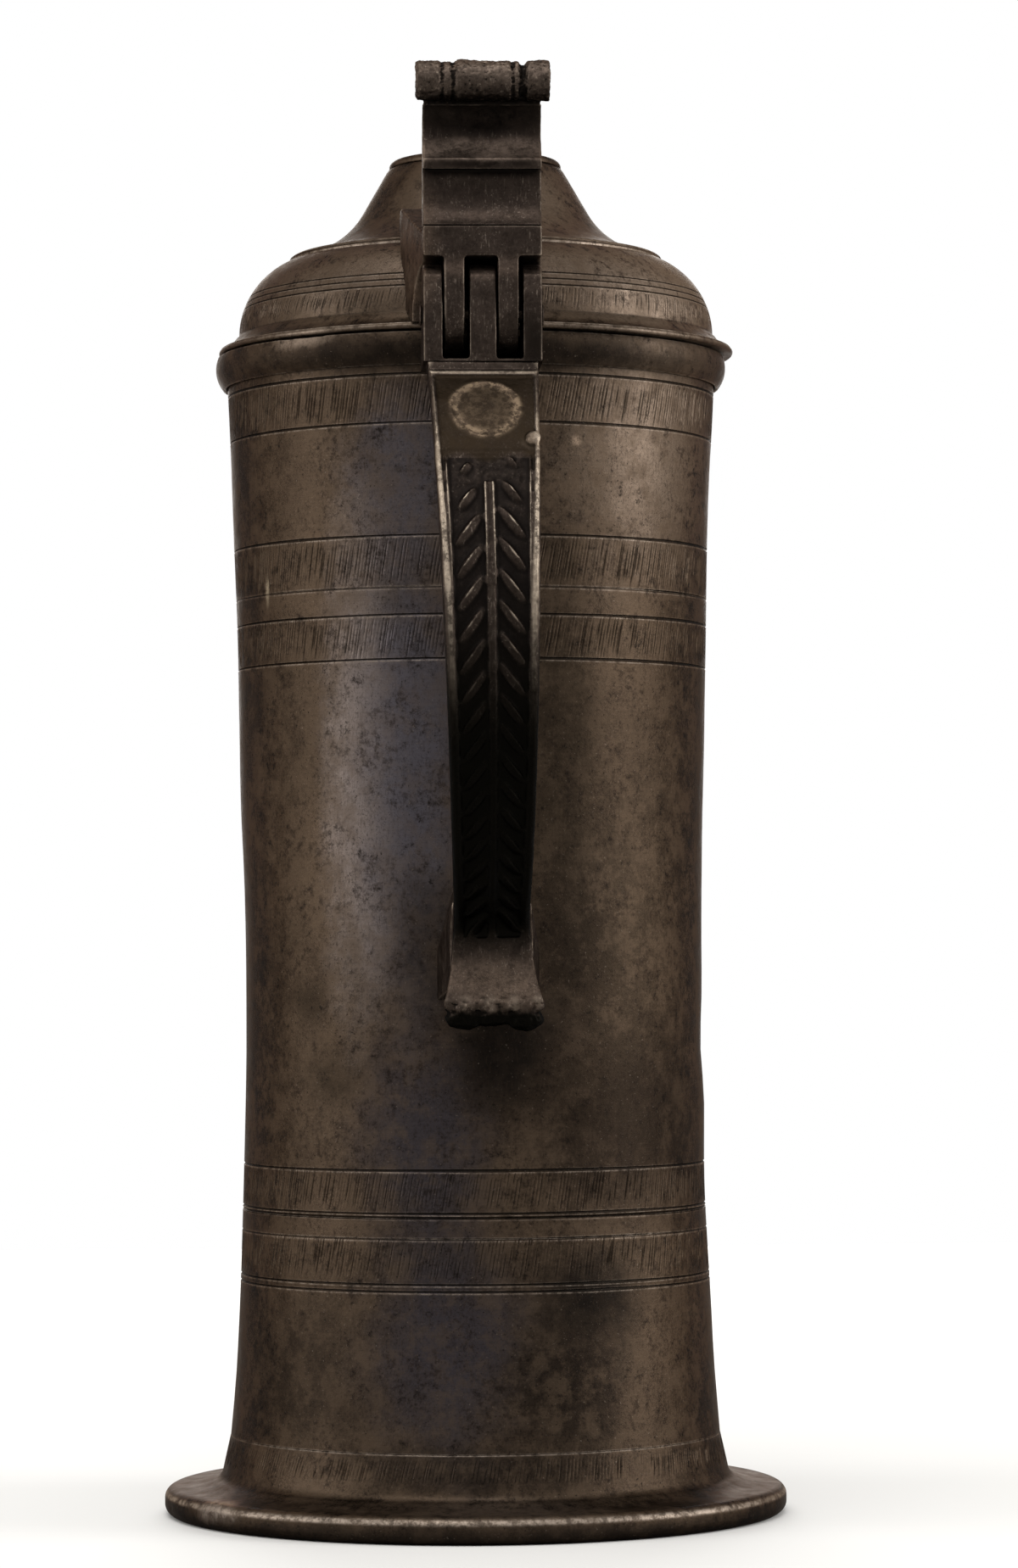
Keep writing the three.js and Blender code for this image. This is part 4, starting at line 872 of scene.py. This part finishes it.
# Hinge bracket: one casting, soldered to the collar and drum, with an arm and three round lugs. Its
# edges are filed over and worn, and its slots are as wide as the lid's tongues need.
CASTING_VOXEL = 0.34
CAST_SKIN_SIZE = 2.6
CAST_SKIN_DEPTH = 0.14
CAST_EDGE = 60
CAD_WELD = 1e-6


def cast_copy(name, cad_node):
    """A casting that keeps the solid of its CAD node, as a merged copy."""
    mesh = frame["nodes"][cad_node].data.copy()
    mesh.materials.clear()
    made = bpy.data.objects.new(name, mesh)
    made.data.name = name
    bpy.context.scene.collection.objects.link(made)
    pick(made)
    bpy.ops.object.mode_set(mode="EDIT")
    bpy.ops.mesh.select_all(action="SELECT")
    bpy.ops.mesh.remove_doubles(threshold=CAD_WELD)
    bpy.ops.object.mode_set(mode="OBJECT")
    return made


def soften(piece, voxel=CASTING_VOXEL, rounds=5):
    """Joins the piece's solids into one skin and rounds its edges, as casting, filing and wear do."""
    bpy.context.view_layer.objects.active = piece
    skin = piece.modifiers.new("skin", "REMESH")
    skin.mode = "VOXEL"
    skin.voxel_size = voxel * MM
    bpy.ops.object.modifier_apply(modifier="skin")
    worn = piece.modifiers.new("worn", "SMOOTH")
    worn.factor = 0.5
    worn.iterations = rounds
    bpy.ops.object.modifier_apply(modifier="worn")


def cast_skin(piece, depth=CAST_SKIN_DEPTH, size=CAST_SKIN_SIZE, where=None, middle=0.9):
    """Presses the low, uneven hollows of a hand-finished casting into the piece, or into a part of it."""
    texture = bpy.data.textures.new(piece.name + "_skin", "CLOUDS")
    texture.noise_scale = size * MM
    texture.noise_depth = 3
    shares = None if where is None else where.astype(float)
    displaced(piece, "uneven", depth, middle, shares, texture)


EDGE_ROUNDS = 5
EDGE_GAIN = 2.6
HOLLOW_ROUNDS = 60


def mark_relief(piece):
    """Stores on each point how far, in mm, it stands above the skin round it: within about a millimetre
    for the worn edges, and within several for the hollows, which the material darkens with grime and
    with painted shade."""
    places, normals = points_of(piece), normals_of(piece)
    a, b, count = neighbours(piece)
    skin = places.copy()
    for step in range(1, HOLLOW_ROUNDS + 1):
        near = [np.bincount(a, row[b], len(row)) + np.bincount(b, row[a], len(row)) for row in skin.T]
        skin = (skin + np.stack(near, 1) / count[:, None]) / 2
        if step == EDGE_ROUNDS:
            mark(piece, "wear_and_highlight", ((places - skin) * normals).sum(1) * EDGE_GAIN)
    mark(piece, "hollow_grime_and_shade", ((places - skin) * normals).sum(1))


def filled(made, run):
    """Fills the closed line that is being drawn, and extrudes it by a run in mm into a solid."""
    bpy.ops.mesh.edge_face_add()
    bpy.ops.mesh.extrude_region_move(TRANSFORM_OT_translate={"value": Vector(run) * MM})
    bpy.ops.mesh.select_all(action="SELECT")
    bpy.ops.mesh.normals_make_consistent(inside=False)
    bpy.ops.object.mode_set(mode="OBJECT")
    return made


def drawn(outline, x0, x1):
    """A side view [y, z] drawn point by point, filled and extruded across the flagon."""
    return filled(traced([(x0, y, z) for y, z in outline + outline[:1]]), (x1 - x0, 0, 0))


def joined(name, parts):
    """Joins the parts into the first of them."""
    pick(*parts)
    bpy.ops.object.join()
    parts[0].name = parts[0].data.name = name
    return parts[0]


def cut_level(piece, level, keep_above):
    """Cuts the piece off flat at a level, and keeps what is above it or what is below it."""
    pick(piece)
    bpy.ops.object.mode_set(mode="EDIT")
    bpy.ops.mesh.select_all(action="SELECT")
    bpy.ops.mesh.bisect(
        plane_co=(0, 0, level * MM),
        plane_no=(0, 0, 1),
        threshold=SAME_PLACE,
        use_fill=True,
        clear_inner=keep_above,
        clear_outer=not keep_above,
    )
    bpy.ops.object.mode_set(mode="OBJECT")


KNUCKLE_RADIUS = 9.4
HINGE_HALF = 12.55
OUTER_LUG = 4.1
MIDDLE_LUG = 5.7
KNUCKLE_FACE = PIN_Y - KNUCKLE_RADIUS
BRACKET_BOTTOM = PIN_Z - 11.6
STRAP_TOP = BRACKET_BOTTOM + 0.9
LUGS = (
    (-HINGE_HALF, OUTER_LUG - HINGE_HALF),
    (-MIDDLE_LUG / 2, MIDDLE_LUG / 2),
    (HINGE_HALF - OUTER_LUG, HINGE_HALF),
)
LUG_FRONT = (
    # back and up from the pin: the lug's shoulder, filed off so that the lid's block swings clear
    (-9.4, -3), (-9.35, 0), (-9.0, 4), (-8.2, 7.6), (-7.1, 8.8), (-5.2, 9.9), (-1, 10.7), (1.6, 10.3),
    (3, 9), (-3, -3),
)
bracket_parts = [cast_copy("bracket", "handle_bracket")]
for left, right in LUGS:
    bracket_parts.append(drawn([(PIN_Y + back, PIN_Z + up) for back, up in LUG_FRONT], left, right))
bracket = joined("bracket", bracket_parts)
soften(bracket)
cut_level(bracket, STRAP_TOP, keep_above=True)
cast_skin(bracket)
mark_relief(bracket)
smooth(bracket, CAST_EDGE)
bracket.data.materials.append(cast_pewter)
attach(bracket, "vessel")
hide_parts("handle_bracket")

# Handle strap: cast flat in a carved mould and bent to a bow. Rounded beads run down its edges and a
# spine down its middle, with leaves in the sunk fields between. Its tail kicks out in a lumpy lip.
BOW_HEIGHT = 115.4
BOW_REACH = 27.5
STRAP_THICKNESS = 4.5
STRAP_TOP_WIDTH = 23.2
STRAP_FOOT_WIDTH = 16
TAIL_WIDTH = 22
TAIL_CURL_RADIUS = 9
TAIL_KICK = math.radians(32)
TAIL_LENGTH = 9
STRAP_LEAN = 1.6
STRAP_VOXEL = 0.32
LIP_LEVEL = 114
SPINE_WIDTH = 2.2
FIELD_DEPTH = 0.95
HIGHLIGHT_GAIN = 0.5
LIT_RUB_START = 4
LIT_RUB_FULL = 26
LIT_RUB_FADES = 55
LIT_RUB_END = 100
SHADE_START = 46
SHADE_FULL = 90
LIT_WEAR_LOWEST = 145
LIT_WEAR_FULL = 185
SEAM_REACH = 3.4
SEAM_SHARE = 0.15
PANEL_DEPTH = 0.4
FLUTE_DEPTH = 0.42
COVE_DEPTH = 0.08
BEAD_START = 1.9
BEAD_END = 3.3
PANEL_END = 27.3
SPINE_START = 33.2
FLUTE_END = 56
BEAD_FULL = 60
LEAF_LENGTH = 9
LEAF_WIDTH = 2.9
LEAF_HEIGHT = 1.15
LEAF_ANGLE = 36
LEAF_TILT = 22
FIRST_LEAVES = 29
LEAF_PITCH = 7.2
LEAF_PITCH_FALL = 0.019
RIDGE_INSET = 2.15
RIB_OFFSET = 0.85
MOULDING_STEPS = ((1.0, 0.35), (0.84, 0.62), (0.6, 0.84), (0.3, 1.0))
MOULDING_RISE = 1.35

bow_radius = ((BOW_HEIGHT / 2) ** 2 + BOW_REACH**2) / (2 * BOW_REACH)
bow_half = math.asin(BOW_HEIGHT / 2 / bow_radius)
bow_length = 2 * bow_half * bow_radius
bow_y = KNUCKLE_FACE + 0.55 + bow_radius * math.cos(bow_half)
bow_z = BRACKET_BOTTOM - BOW_HEIGHT / 2
curl_length = (bow_half + TAIL_KICK) * TAIL_CURL_RADIUS
strap_length = bow_length + curl_length + TAIL_LENGTH
FIELD_END = bow_length + 5.5


def strap_point(s):
    """The strap's face line at a distance along it: across, back and up."""
    x = STRAP_LEAN * s / strap_length
    if s <= bow_length:
        lean = bow_half - s / bow_radius
        return (x, bow_y - bow_radius * math.cos(lean), bow_z + bow_radius * math.sin(lean))
    curled = min(s - bow_length, curl_length)
    straight = s - bow_length - curled
    lean = curled / TAIL_CURL_RADIUS - bow_half
    foot_y = bow_y - bow_radius * math.cos(bow_half)
    foot_z = bow_z - bow_radius * math.sin(bow_half)
    return (
        x,
        foot_y + TAIL_CURL_RADIUS * (math.cos(lean) - math.cos(bow_half)) - straight * math.sin(lean),
        foot_z - TAIL_CURL_RADIUS * (math.sin(lean) + math.sin(bow_half)) - straight * math.cos(lean),
    )


def strap_half(s):
    if s <= bow_length:
        return (STRAP_TOP_WIDTH + (STRAP_FOOT_WIDTH - STRAP_TOP_WIDTH) * s / bow_length) / 2
    spread = ((s - bow_length) / (curl_length + TAIL_LENGTH)) ** 2
    return (STRAP_FOOT_WIDTH + (TAIL_WIDTH - STRAP_FOOT_WIDTH) * spread) / 2


def bar(left, right, start, end, low, high, step=3.0):
    """A bar of the flat strap between two edge lines, from one height to another, drawn and extruded."""
    places = np.linspace(start, end, max(2, round((end - start) / step) + 1))
    outline = [(s, right(s), low) for s in places] + [(s, left(s), low) for s in reversed(places)]
    return filled(traced(outline + outline[:1]), (0, 0, high - low))


def edge(inset, sign=1):
    """A line inside the strap's right edge, or inside its left edge where the sign is -1."""
    return lambda s: sign * (strap_half(s) - inset)


def straight(value):
    """A line, or a width, that stays the same all along the strap."""
    return lambda s: value


def moulding(middle, width, start, end, base, crest):
    """A half-round moulding of the flat strap, as a stack of ever narrower bars."""
    made = []
    for share, rise in MOULDING_STEPS:
        left = lambda s, share=share: middle(s) - width(s) / 2 * share
        right = lambda s, share=share: middle(s) + width(s) / 2 * share
        made.append(bar(left, right, start, end, base, crest - MOULDING_RISE * (1 - rise)))
    return made


def bead_width(s):
    return 1.3 + 1.2 * min(max((s - PANEL_END) / (BEAD_FULL - PANEL_END), 0), 1)


start = -2.4 * STRAP_THICKNESS
lip_start = strap_length - 2.2
under = -STRAP_THICKNESS
sunk = -FIELD_DEPTH - 1
spine_half = SPINE_WIDTH / 2
STEPS = (
    # inset from both edges, start, end, top
    (0, start, BEAD_START + 0.2, -COVE_DEPTH),
    (0, start, 0.1, 0.85),
    (0, 0, 0.8, 0.4),
    (0.4, BEAD_START, BEAD_END, 0.15),
    (1, BEAD_END - 1, 25.2, -PANEL_DEPTH),
    (1, BEAD_END - 1, 26.4, -PANEL_DEPTH - 0.17),
    (1, BEAD_END - 1, PANEL_END, -PANEL_DEPTH - 0.34),
)
parts = [bar(edge(0.3, -1), edge(0.3), start, lip_start, under, -FIELD_DEPTH)]
for sign in (-1, 1):
    bead_middle = lambda s, sign=sign: sign * (strap_half(s) - bead_width(s) / 2)
    parts += moulding(bead_middle, bead_width, -1.6, FIELD_END + 4, under, 0)
    parts += moulding(edge(RIDGE_INSET, sign), straight(0.75), PANEL_END - 0.5, BEAD_FULL, sunk, -0.3)
    parts += moulding(straight(sign * RIB_OFFSET), straight(0.55), SPINE_START, FLUTE_END, sunk, 0)
for inset, begin, end, top in STEPS:
    parts.append(bar(edge(inset, -1), edge(inset), begin, end, under, top))
parts.append(bar(straight(-spine_half), straight(spine_half), SPINE_START, FLUTE_END, under, -FLUTE_DEPTH))
for begin, crest in ((FLUTE_END - 9, -0.34), (FLUTE_END - 4.5, -0.2), (FLUTE_END, -0.05)):
    parts += moulding(straight(0.0), straight(SPINE_WIDTH + 0.2), begin, FIELD_END, under, crest)
parts.append(bar(edge(0, -1), edge(0), FIELD_END, lip_start, under, -0.1))

# The leaf, modelled once as a keeled spindle and copied down both fields, and used again, small and
# turned all ways, for the scars of the file between the panel and the first leaves.
bpy.ops.object.select_all(action="DESELECT")
bpy.ops.mesh.primitive_uv_sphere_add(segments=4, ring_count=10, radius=MM / 2)
leaf = bpy.context.object
bpy.ops.object.mode_set(mode="EDIT")
bpy.ops.mesh.select_all(action="SELECT")
bpy.ops.transform.rotate(value=math.pi / 2, orient_axis="Y", center_override=(0, 0, 0))
bpy.ops.transform.resize(value=(LEAF_LENGTH, LEAF_WIDTH, 2 * LEAF_HEIGHT), center_override=(0, 0, 0))
bpy.ops.object.mode_set(mode="OBJECT")


def add_leaf(s, across, turn, scale, height=-FIELD_DEPTH, tilt=0.0):
    copied = leaf.copy()
    copied.data = leaf.data.copy()
    bpy.context.scene.collection.objects.link(copied)
    copied.scale = scale
    copied.rotation_euler = (math.radians(tilt), 0, math.radians(turn))
    copied.location = Vector((s, across, height)) * MM
    parts.append(copied)


place = FIRST_LEAVES
while place < FIELD_END - 2.5:
    size = 0.38 if place < SPINE_START else 0.72 if place < SPINE_START + 4 else 1.0
    for sign in (-1, 1):
        room = strap_half(place) - 2.5 - SPINE_WIDTH / 2
        fit = min(1.0, (room - 0.6) / (LEAF_LENGTH * math.sin(math.radians(LEAF_ANGLE))) + 0.1) * size
        add_leaf(place - sign * 0.8, sign * (SPINE_WIDTH / 2 + room / 2), sign * LEAF_ANGLE,
                 (fit, fit**0.5, 1), tilt=-sign * LEAF_TILT)
    place += LEAF_PITCH - LEAF_PITCH_FALL * (place - FIRST_LEAVES)
scars = random.Random(5)
for _ in range(34):
    small = scars.uniform(0.14, 0.3)
    add_leaf(scars.uniform(PANEL_END + 0.3, SPINE_START), scars.uniform(-6.5, 6.5), scars.uniform(-70, 70),
             (small, small, 0.3))
add_leaf(FIELD_END + 1.5, 0.8, 90, (0.42, 0.4, 0.35), height=-0.1)
bpy.data.objects.remove(leaf)

# The tail's lip is a rolled end, hammered lumpy, and a drop of solder sits on the panel's edge. Each is
# a group of flattened balls: place along the strap, across and up, and radii along, across and up.
SOLDER_DROP = (22.6, 9.6)
LUMPS = [
    (strap_length - 0.6, -6.2, -4.6, 2.5, 4.2, 2.6),
    (strap_length - 1.1, 0.2, -4.5, 2.3, 5.4, 2.5),
    (strap_length - 0.4, 6.7, -4.6, 2.6, 4.0, 2.6),
    (*SOLDER_DROP, 0.1, 1.7, 1.6, 0.9),
    (FIELD_END + 2.6, 7.2, -0.5, 1.6, 1.4, 1.0),
]
for across in np.linspace(-9, 9, 9):
    along, up = strap_length - scars.uniform(1.6, 2.5), -scars.uniform(1.5, 2.1)
    radii = scars.uniform(1.5, 2.1), scars.uniform(1.4, 2.2), scars.uniform(1.7, 2.0)
    LUMPS.append((along, across, up, *radii))
for s, across, up, along, wide, tall in LUMPS:
    bpy.ops.object.select_all(action="DESELECT")
    bpy.ops.mesh.primitive_uv_sphere_add(segments=20, ring_count=12, radius=MM)
    lump = bpy.context.object
    lump.scale = (along, wide, tall)
    lump.location = Vector((s, across, up)) * MM
    parts.append(lump)

# The panel's mark: a plain round ring, rubbed almost flat.
MARK_PLACE = 13.6
MARK_STRETCH = 1.12
MARK_RADIUS = 7.3
MARK_ROUND = 0.55
bpy.ops.object.select_all(action="DESELECT")
bpy.ops.mesh.primitive_torus_add(
    major_radius=MARK_RADIUS * MM, minor_radius=MARK_ROUND * MM, major_segments=72, minor_segments=12
)
ring = bpy.context.object
ring.scale = (MARK_STRETCH, 1, 1)
ring.location = Vector((MARK_PLACE, 0, -PANEL_DEPTH - 0.32)) * MM
parts.append(ring)
pick(*parts)
bpy.ops.object.transform_apply(location=True, rotation=True, scale=True)
strap = joined("strap", parts)
soften(strap, STRAP_VOXEL, rounds=3)


# While the strap is still flat, its fields, its panel, its painted shade low down and its crests, rubbed
# and lit with painted highlights, are marked by where they lie: how far down the strap, how far from its
# middle and its edge, and how high.
def ramp(values, start, full):
    """0 where the values are at start or short of it, and 1 where they are at full or past it."""
    return np.clip((values - start) / (full - start), 0, 1)


facing = normals_of(strap)[:, 2]
run, across, rise = points_of(strap).T
face = rise > -2.2
crest_at = np.array([bead_width(s) / 2 for s in run])
off_middle = np.abs(across)
off_edge = np.array([strap_half(s) for s in run]) - off_middle
inside_beads = (off_edge > 2.2) * (run > PANEL_END) * (run < FIELD_END)
mark(strap, "field", face * inside_beads * ramp(rise, -0.3, -0.8))

# Painted shade: the strap's face dark down its lower part, and its lip dark underneath.
painted_shade = ramp(run, SHADE_START, SHADE_FULL) * ramp(run, FIELD_END + 6, FIELD_END - 3)
below_lip = np.maximum(ramp(rise, -2.3, -3.2), ramp(run, strap_length - 0.6, strap_length + 0.1))
mark(strap, "painted_shade", np.maximum(face * painted_shade, (run > strap_length - 4) * below_lip))

panel_end = PANEL_END + 0.8 + 0.9 * np.cos(across * 0.55)
panel = (off_edge > 1.2) * (run > BEAD_END) * ramp(run, panel_end, panel_end - 2.2)
off_drop = np.hypot(run - SOLDER_DROP[0], across - SOLDER_DROP[1]) > 1.7
mark(strap, "panel", face * panel * off_drop)

ring_reach = np.hypot((run - MARK_PLACE) / MARK_STRETCH, across)
stamp = band(ring_reach, MARK_RADIUS - 0.5, 0.9) + 0.3 * (ring_reach < MARK_RADIUS - 0.5)
mark(strap, "stamp", face * np.clip(stamp, 0, 1))

# Painted highlights: on the crests of the beads, the leaves, the flute's ribs and the ridges, on the bead
# across the top and on the lip's lumps. On the beads and leaves they are weaker next to the hinge and fade
# lower down the strap, partly rubbing by the hand and partly painted light.
rubbed_and_lit = np.maximum(ramp(run, LIT_RUB_END, LIT_RUB_FADES), 0.08) * np.maximum(ramp(run, LIT_RUB_START, LIT_RUB_FULL), 0.3)
in_flute = (run > SPINE_START) * ramp(run, FLUTE_END, FLUTE_END - 12)
in_leaves = (run > PANEL_END + 1) * ramp(run, BEAD_FULL, BEAD_FULL - 12)
lip_crest = ramp(run, strap_length - 5, strap_length - 3) * ramp(rise, -2.4, -1.2) * (facing > -0.2)
painted_highlights = [
    face * band(off_edge, crest_at, 0.75) * rubbed_and_lit,
    inside_beads * ramp(rise, -0.07, 0.05) * rubbed_and_lit * ((run < FLUTE_END) | (off_middle > 1.4)),
    face * in_flute * band(off_middle, RIB_OFFSET, 0.3) * 0.65,
    face * in_leaves * band(off_edge, RIDGE_INSET, 0.3) * 0.6,
    (off_edge > 0.4) * (rise > -1) * band(run, (BEAD_START + BEAD_END) / 2, 0.45),
    lip_crest * (0.12 + 0.3 * np.cos(across * 0.62 + 0.5) ** 2),
]
mark(strap, "painted_highlights", np.max(painted_highlights, 0))

# Pits in the right-hand bead, and then the bend: the flat strap is bowed along its route, cut off level
# under the hinge, and given its casting skin.
PIT_DEPTH = 0.16
BEAD_PITS = ((36.6, 0.9), (37.6, 0.7), (59.7, 0.6), (63.5, 0.9), (64.9, 0.6), (78.4, 0.6))
for s, reach in BEAD_PITS:
    dent(strap, (s, strap_half(s) - 1.1, -0.1), reach, PIT_DEPTH)
route = bpy.data.curves.new("strap_route", "CURVE")
route.dimensions = "3D"
route.twist_mode = "MINIMUM"
line = route.splines.new("POLY")
stations = np.linspace(start - 2, strap_length + 4, 320)
line.points.add(len(stations) - 1)
for point, s in zip(line.points, stations):
    point.co = (*(Vector(strap_point(s)) * MM), 1)
route_object = bpy.data.objects.new("strap_route", route)
bpy.context.scene.collection.objects.link(route_object)
pick(strap)
strap.data.transform(Matrix.Translation(((2 - start) * MM, 0, 0)))
bow = strap.modifiers.new("bow", "CURVE")
bow.object = route_object
bow.deform_axis = "POS_X"
bpy.ops.object.modifier_apply(modifier="bow")
bpy.data.objects.remove(route_object)
cut_level(strap, STRAP_TOP, keep_above=False)
cast_skin(strap, depth=0.16, size=3.2)
cast_skin(strap, depth=1.1, size=2.6, where=points_of(strap)[:, 2] < LIP_LEVEL, middle=0.6)
mark_relief(strap)


def marked(piece, name):
    """The values that a mark holds, one for each point of the piece."""
    values = np.zeros(len(piece.data.vertices))
    piece.data.attributes[name].data.foreach_get("value", values)
    return values


# Painted shade low on the strap: its edges' wear and painted highlights fade towards the table. Next to the
# bracket, the darkening of its hollows and creases is mostly taken off.
levels = points_of(strap)[:, 2]
by_seam = np.where(levels > STRAP_TOP - SEAM_REACH, SEAM_SHARE, 1)
wear_and_highlight = marked(strap, "wear_and_highlight")
wear_and_highlight *= np.where(wear_and_highlight > 0, np.maximum(ramp(levels, LIT_WEAR_LOWEST, LIT_WEAR_FULL), 0.12), by_seam)
mark(strap, "wear_and_highlight", wear_and_highlight + HIGHLIGHT_GAIN * marked(strap, "painted_highlights"))
mark(strap, "hollow_grime_and_shade", marked(strap, "hollow_grime_and_shade") * by_seam)
strap.data.attributes.remove(strap.data.attributes["painted_highlights"])
smooth(strap, CAST_EDGE)
STRAP_COATS = (
    # the sunk fields darker: grime in the recesses, and painted shade
    ("field", 0.0, 1.0, 0.8, "specks", 0.6, 0.4, 0.75, "#100d0c"),
    ("panel", 0.0, 1.0, 0.92, "mottle", 0.6, 0.4, 0.85, "#1f1810"),
    ("stamp", 0.0, 1.0, 0.5, "mottle", 0.56, 0.44, 0.3, "#625345"),
    ("stamp", 0.0, 1.0, 0.6, "specks", 0.56, 0.46, 0.0, "#766552"),
    # painted shade on the strap's lower part and under its lip
    ("painted_shade", 0.0, 1.0, 1.0, "grain", 0.7, 0.3, 0.97, "#030302"),
)
drop_x, drop_y, drop_z = strap_point(SOLDER_DROP[0])
drop_place = tuple(round(value, 1) for value in (drop_x + SOLDER_DROP[1], drop_y, drop_z))
# The castings' painted light and shade, the solder drop's lighter colour, and the tail's face lighter.
STRAP_STAINS_AND_LIGHT = (
    *CAST_LIGHT_AND_SHADE,
    (drop_place, (2.4, 3.5, 2.2), "#8a7968", 0.9, 0.2),
    ((1.6, -62, 119), (14, 12, 6), "#6b5b4e", 0.65, 0.5),
)
carved_pewter = pewter("carved_pewter", CAST_METAL, CAST_COATS + STRAP_COATS, STRAP_STAINS_AND_LIGHT)
strap.data.materials.append(carved_pewter)
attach(strap, "vessel")
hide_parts("handle_strap")

# Pad: the cast pewter strut that holds the strap's heel off the drum. It is soldered to the drum's wall
# and to the back of the strap.
pad = cast_copy("pad", "handle_pad")
soften(pad)
cast_skin(pad)
mark_relief(pad)
smooth(pad, CAST_EDGE)
pad.data.materials.append(cast_pewter)
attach(pad, "vessel")
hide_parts("handle_pad")

# Pin: a length of drawn wire, driven through the three lugs and the lid's two tongues. Its ends are
# peened over, so that it can't work out.
pin = cast_copy("pin", "hinge_pin")
soften(pin, voxel=0.2, rounds=4)
mark_relief(pin)
smooth(pin, CAST_EDGE)
pin.data.materials.append(cast_pewter)
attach(pin, "vessel")
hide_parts("hinge_pin")

# Lid strap: a pewter casting in one with the hinge's two tongues. It is soldered over the dome and
# against the crown.
lid_strap = cast_copy("lid_strap_casting", "lid_strap")
soften(lid_strap)
cast_skin(lid_strap)
mark_relief(lid_strap)
smooth(lid_strap, CAST_EDGE)
lid_strap.data.materials.append(cast_pewter)
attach(lid_strap, "lid")
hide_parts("lid_strap")

# Thumbpiece: a stepped plate with two hollowed faces parted by a ledge, and a turned roll along its top
# that the thumb has rubbed uneven.
BLOCK_TOP = PIN_Z + 17.9
LEDGE_BOTTOM = BLOCK_TOP + 11.6
LEDGE_TOP = LEDGE_BOTTOM + 2.3
ROLL_Y = KNUCKLE_FACE - 2.3
ROLL_Z = BLOCK_TOP + 30
ROLL_RADIUS = 4.6
ROLL_PROFILE = (
    # distance along the roll, radius
    (-14.3, 3.3), (-14.1, 4.1), (-13.4, 4.5), (-11, 4.35), (-9.2, 4.35), (-8.9, 4.2), (-8.5, 3.6),
    (-8.1, 4.2), (-6.7, 4.35), (-6.25, 3.6), (-5.7, 4.3), (-5.3, 4.6), (-3, 4.55), (1, 4.4), (4.5, 4.5),
    (5.9, 4.5), (6.3, 3.95), (6.7, 4.45), (7.6, 4.35), (8.05, 3.4), (8.7, 3.5), (9.2, 4.45), (11, 4.55),
    (13, 4.6), (14.0, 4.6), (14.35, 4.1),
)
lower_hollow = [
    (KNUCKLE_FACE, BLOCK_TOP),
    (KNUCKLE_FACE + 3.4, BLOCK_TOP + 2.5),
    (KNUCKLE_FACE + 3.6, LEDGE_BOTTOM - 2.5),
    (KNUCKLE_FACE + 3.4, LEDGE_BOTTOM + 0.7),
]
upper_hollow = [
    (KNUCKLE_FACE - 0.9, LEDGE_TOP),
    (KNUCKLE_FACE + 4.4, LEDGE_TOP + 3.6),
    (KNUCKLE_FACE + 4.2, ROLL_Z - 6.5),
    (ROLL_Y + 0.6, ROLL_Z - 3.4),
]
back_line = [(ROLL_Y + 4.3, ROLL_Z), (KNUCKLE_FACE + 9, BLOCK_TOP + 17), (KNUCKLE_FACE + 11.5, BLOCK_TOP)]
plate_outline = [
    *curve(lower_hollow, 14),
    (KNUCKLE_FACE + 1.6, LEDGE_BOTTOM + 0.5),
    (KNUCKLE_FACE - 0.7, LEDGE_BOTTOM),
    *curve(upper_hollow, 20),
    (ROLL_Y - 1, ROLL_Z),
    (ROLL_Y, ROLL_Z + 3),
    (ROLL_Y + 3.4, ROLL_Z + 1.5),
    *curve(back_line, 20),
]
plate = drawn(plate_outline, -HINGE_HALF, HINGE_HALF)
roll_line = [(ROLL_PROFILE[0][0], 0), *ROLL_PROFILE, (ROLL_PROFILE[-1][0], 0)]
roll = traced([(along, 0, radius) for along, radius in roll_line], (0, ROLL_Y, ROLL_Z))
lathed(roll, turns=48, axis="X")
thumb = joined("thumb_plate", [plate, roll])
soften(thumb, voxel=0.3, rounds=3)
cast_skin(thumb, depth=0.2, size=2.6)
on_roll = points_of(thumb)[:, 2] > ROLL_Z - ROLL_RADIUS
cast_skin(thumb, depth=0.45, size=2.1, where=on_roll, middle=0.8)
cast_skin(thumb, depth=0.5, size=0.9, where=on_roll, middle=0.75)
mark_relief(thumb)
smooth(thumb, CAST_EDGE)
thumb.data.materials.append(cast_pewter)
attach(thumb, "lid")
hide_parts("thumbpiece")
